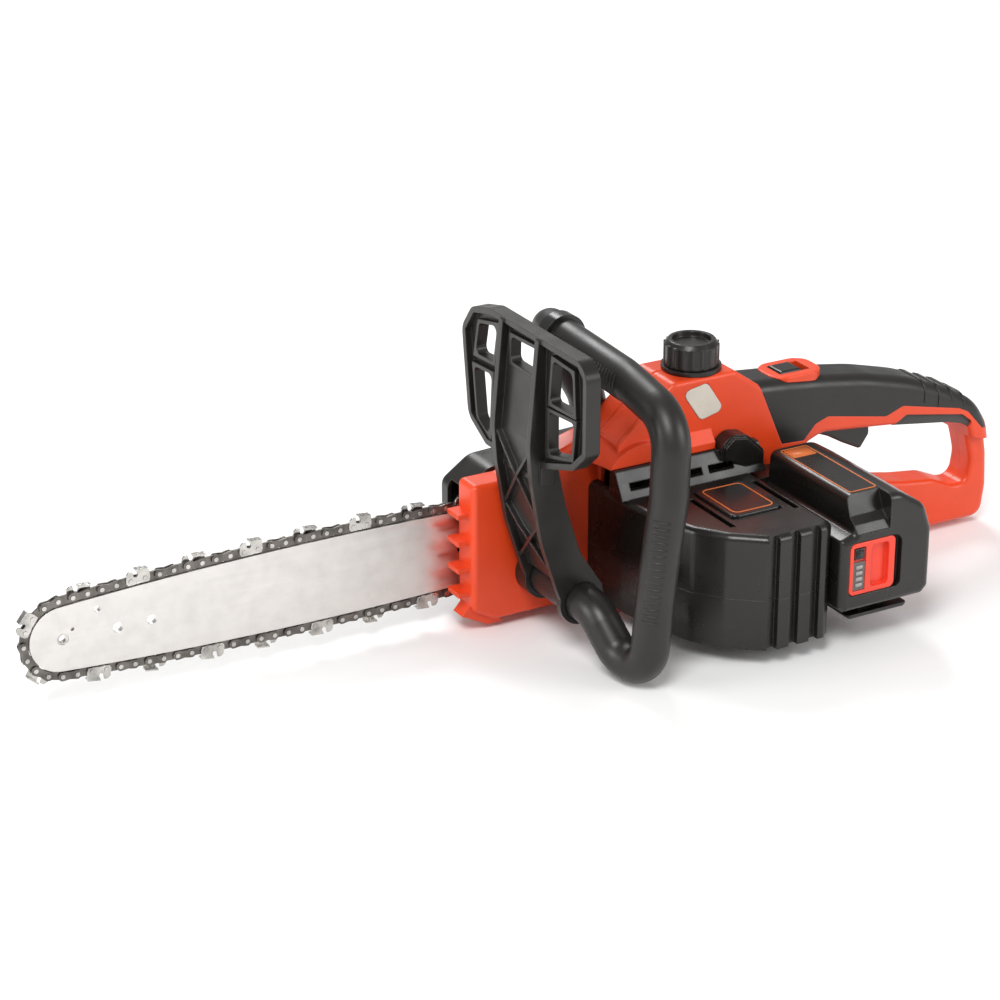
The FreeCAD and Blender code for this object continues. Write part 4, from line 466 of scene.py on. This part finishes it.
def addPatch(work, outline, surface, rise, lay):
    rings = [[work.verts.new(lay(x, y, z)) for x, y in outline] for z in (surface - sunk, surface + rise)]
    count = len(outline)
    work.faces.new(rings[1])
    work.faces.new(rings[0][::-1])
    for index in range(count):
        following = (index + 1) % count
        work.faces.new((rings[0][index], rings[0][following], rings[1][following], rings[1][index]))


def raisedPatch(name, patches, radius, surface, rise, body, finish="orangeInk", paint="orange_shell",
                lay=onTop):
    work = bmesh.new()
    for low, high in patches:
        addPatch(work, roundedLoop(low, high, radius), surface, rise, lay)
    return show(name, finished(name, work), finish, body)


badge = {"low": (0.0835, -0.0565), "high": (0.1145, -0.0155), "radius": 0.0045, "width": 0.0011,
         "surface": 0.0930, "rise": 0.00025}
raisedOutline("badgeOutline", body="saw", **badge)
label = {"low": (0.1500, -0.0865), "high": (0.1715, -0.0075), "radius": 0.0025, "width": 0.0009,
         "surface": 0.1045, "rise": 0.00025}
raisedOutline("labelOutline", body="battery", **label)
labelEnd = {"patches": [((0.1517, -0.0225), (0.1698, -0.0092))], "radius": 0.0016, "surface": 0.1045,
            "rise": 0.0002}
raisedPatch("labelEnd", body="battery", **labelEnd)
print("outlines ready")

# the charge gauge: pale segments on the panel and a round cap on its button


def nodeBox(name):
    corners = [nodes[name].matrix_world @ vertex.co for vertex in nodes[name].data.vertices]
    return ([min(corner[axis] for corner in corners) for axis in range(3)],
            [max(corner[axis] for corner in corners) for axis in range(3)])


segments = {"count": 4, "inset": 0.0019, "first": 0.0024, "pitch": 0.0041, "height": 0.0024, "radius": 0.0006,
            "rise": 0.00015}


def makeSegments():
    low, high = nodeBox("gauge_panel")
    left, right = low[0] + segments["inset"], high[0] - segments["inset"]
    feet = [low[2] + segments["first"] + segments["pitch"] * number for number in range(segments["count"])]
    patches = [((left, foot), (right, foot + segments["height"])) for foot in feet]
    raisedPatch("gaugeSegments", patches, segments["radius"], -low[1], segments["rise"], "battery_latch",
                "gaugePale", "gauge_grey", onLeft)


buttonCap = {"radius": 0.0031, "rise": 0.0006}


def makeButtonCap():
    low, high = nodeBox("gauge_button")
    radius = buttonCap["radius"]
    x, z = (low[0] + high[0]) / 2, (low[2] + high[2]) / 2
    patches = [((x - radius, z - radius), (x + radius, z + radius))]
    raisedPatch("gaugeButtonCap", patches, radius, -low[1], buttonCap["rise"], "gauge_button", "glossBlack",
                "badge_black", onLeft)


makeSegments()
makeButtonCap()
print("gauge ready")

# ridges over the back of the rear grip, laid on the grip's own surface

ridgeTube = {"sides": 8, "sideways": (1, 0, 0.2), "endShare": 0.35, "fullAfter": 3}


def tubeAlong(work, points, radius):
    sides = ridgeTube["sides"]
    rings = []
    for index, point in enumerate(points):
        ahead = points[min(index + 1, len(points) - 1)] - points[max(index - 1, 0)]
        across = ahead.cross(Vector(ridgeTube["sideways"])).normalized()
        up = ahead.cross(across).normalized()
        fromEnd = min(index, len(points) - 1 - index) / len(points)
        share = min(1, ridgeTube["endShare"] + ridgeTube["fullAfter"] * fromEnd)
        turns = [math.tau * k / sides for k in range(sides)]
        rings.append([work.verts.new(point + radius * share * (math.cos(turn) * across + math.sin(turn) * up))
                      for turn in turns])
    for first, second in zip(rings, rings[1:]):
        for k in range(sides):
            work.faces.new((first[k], first[(k + 1) % sides], second[(k + 1) % sides], second[k]))
    work.faces.new(rings[0])
    work.faces.new(rings[-1][::-1])


ridges = {"tops": (0.287, 0.299, 0.3105, 0.3215), "lean": 0.006, "leanAngle": 1.36, "radius": 0.0012,
          "from": -78, "to": 78, "steps": 26, "middleY": 0.035, "coreX": 0.19, "coreZ": 0.12, "fall": 0.4284,
          "startsOut": 0.08, "fewest": 7}


def ridgePoints(grip, top):
    points = []
    for step in range(ridges["steps"] + 1):
        angle = math.radians(ridges["from"] + (ridges["to"] - ridges["from"]) * step / ridges["steps"])
        place = top - ridges["lean"] * (angle / ridges["leanAngle"]) ** 2
        outward = Vector((0, math.sin(angle), math.cos(angle)))
        coreZ = ridges["coreZ"] - ridges["fall"] * (place - ridges["coreX"])
        core = Vector((place, ridges["middleY"], coreZ))
        found = grip.ray_cast(core + outward * ridges["startsOut"], -outward)[0]
        if found:
            points.append(found)
    return points


def makeRidges():
    grip = surfaceOf("handle_overmould")
    work = bmesh.new()
    for top in ridges["tops"]:
        points = ridgePoints(grip, top)
        if len(points) >= ridges["fewest"]:
            tubeAlong(work, points, ridges["radius"])
    return finished("gripRidges", work)


show("gripRidges", makeRidges(), "gripRubber", "saw")
print("grip ridges ready")
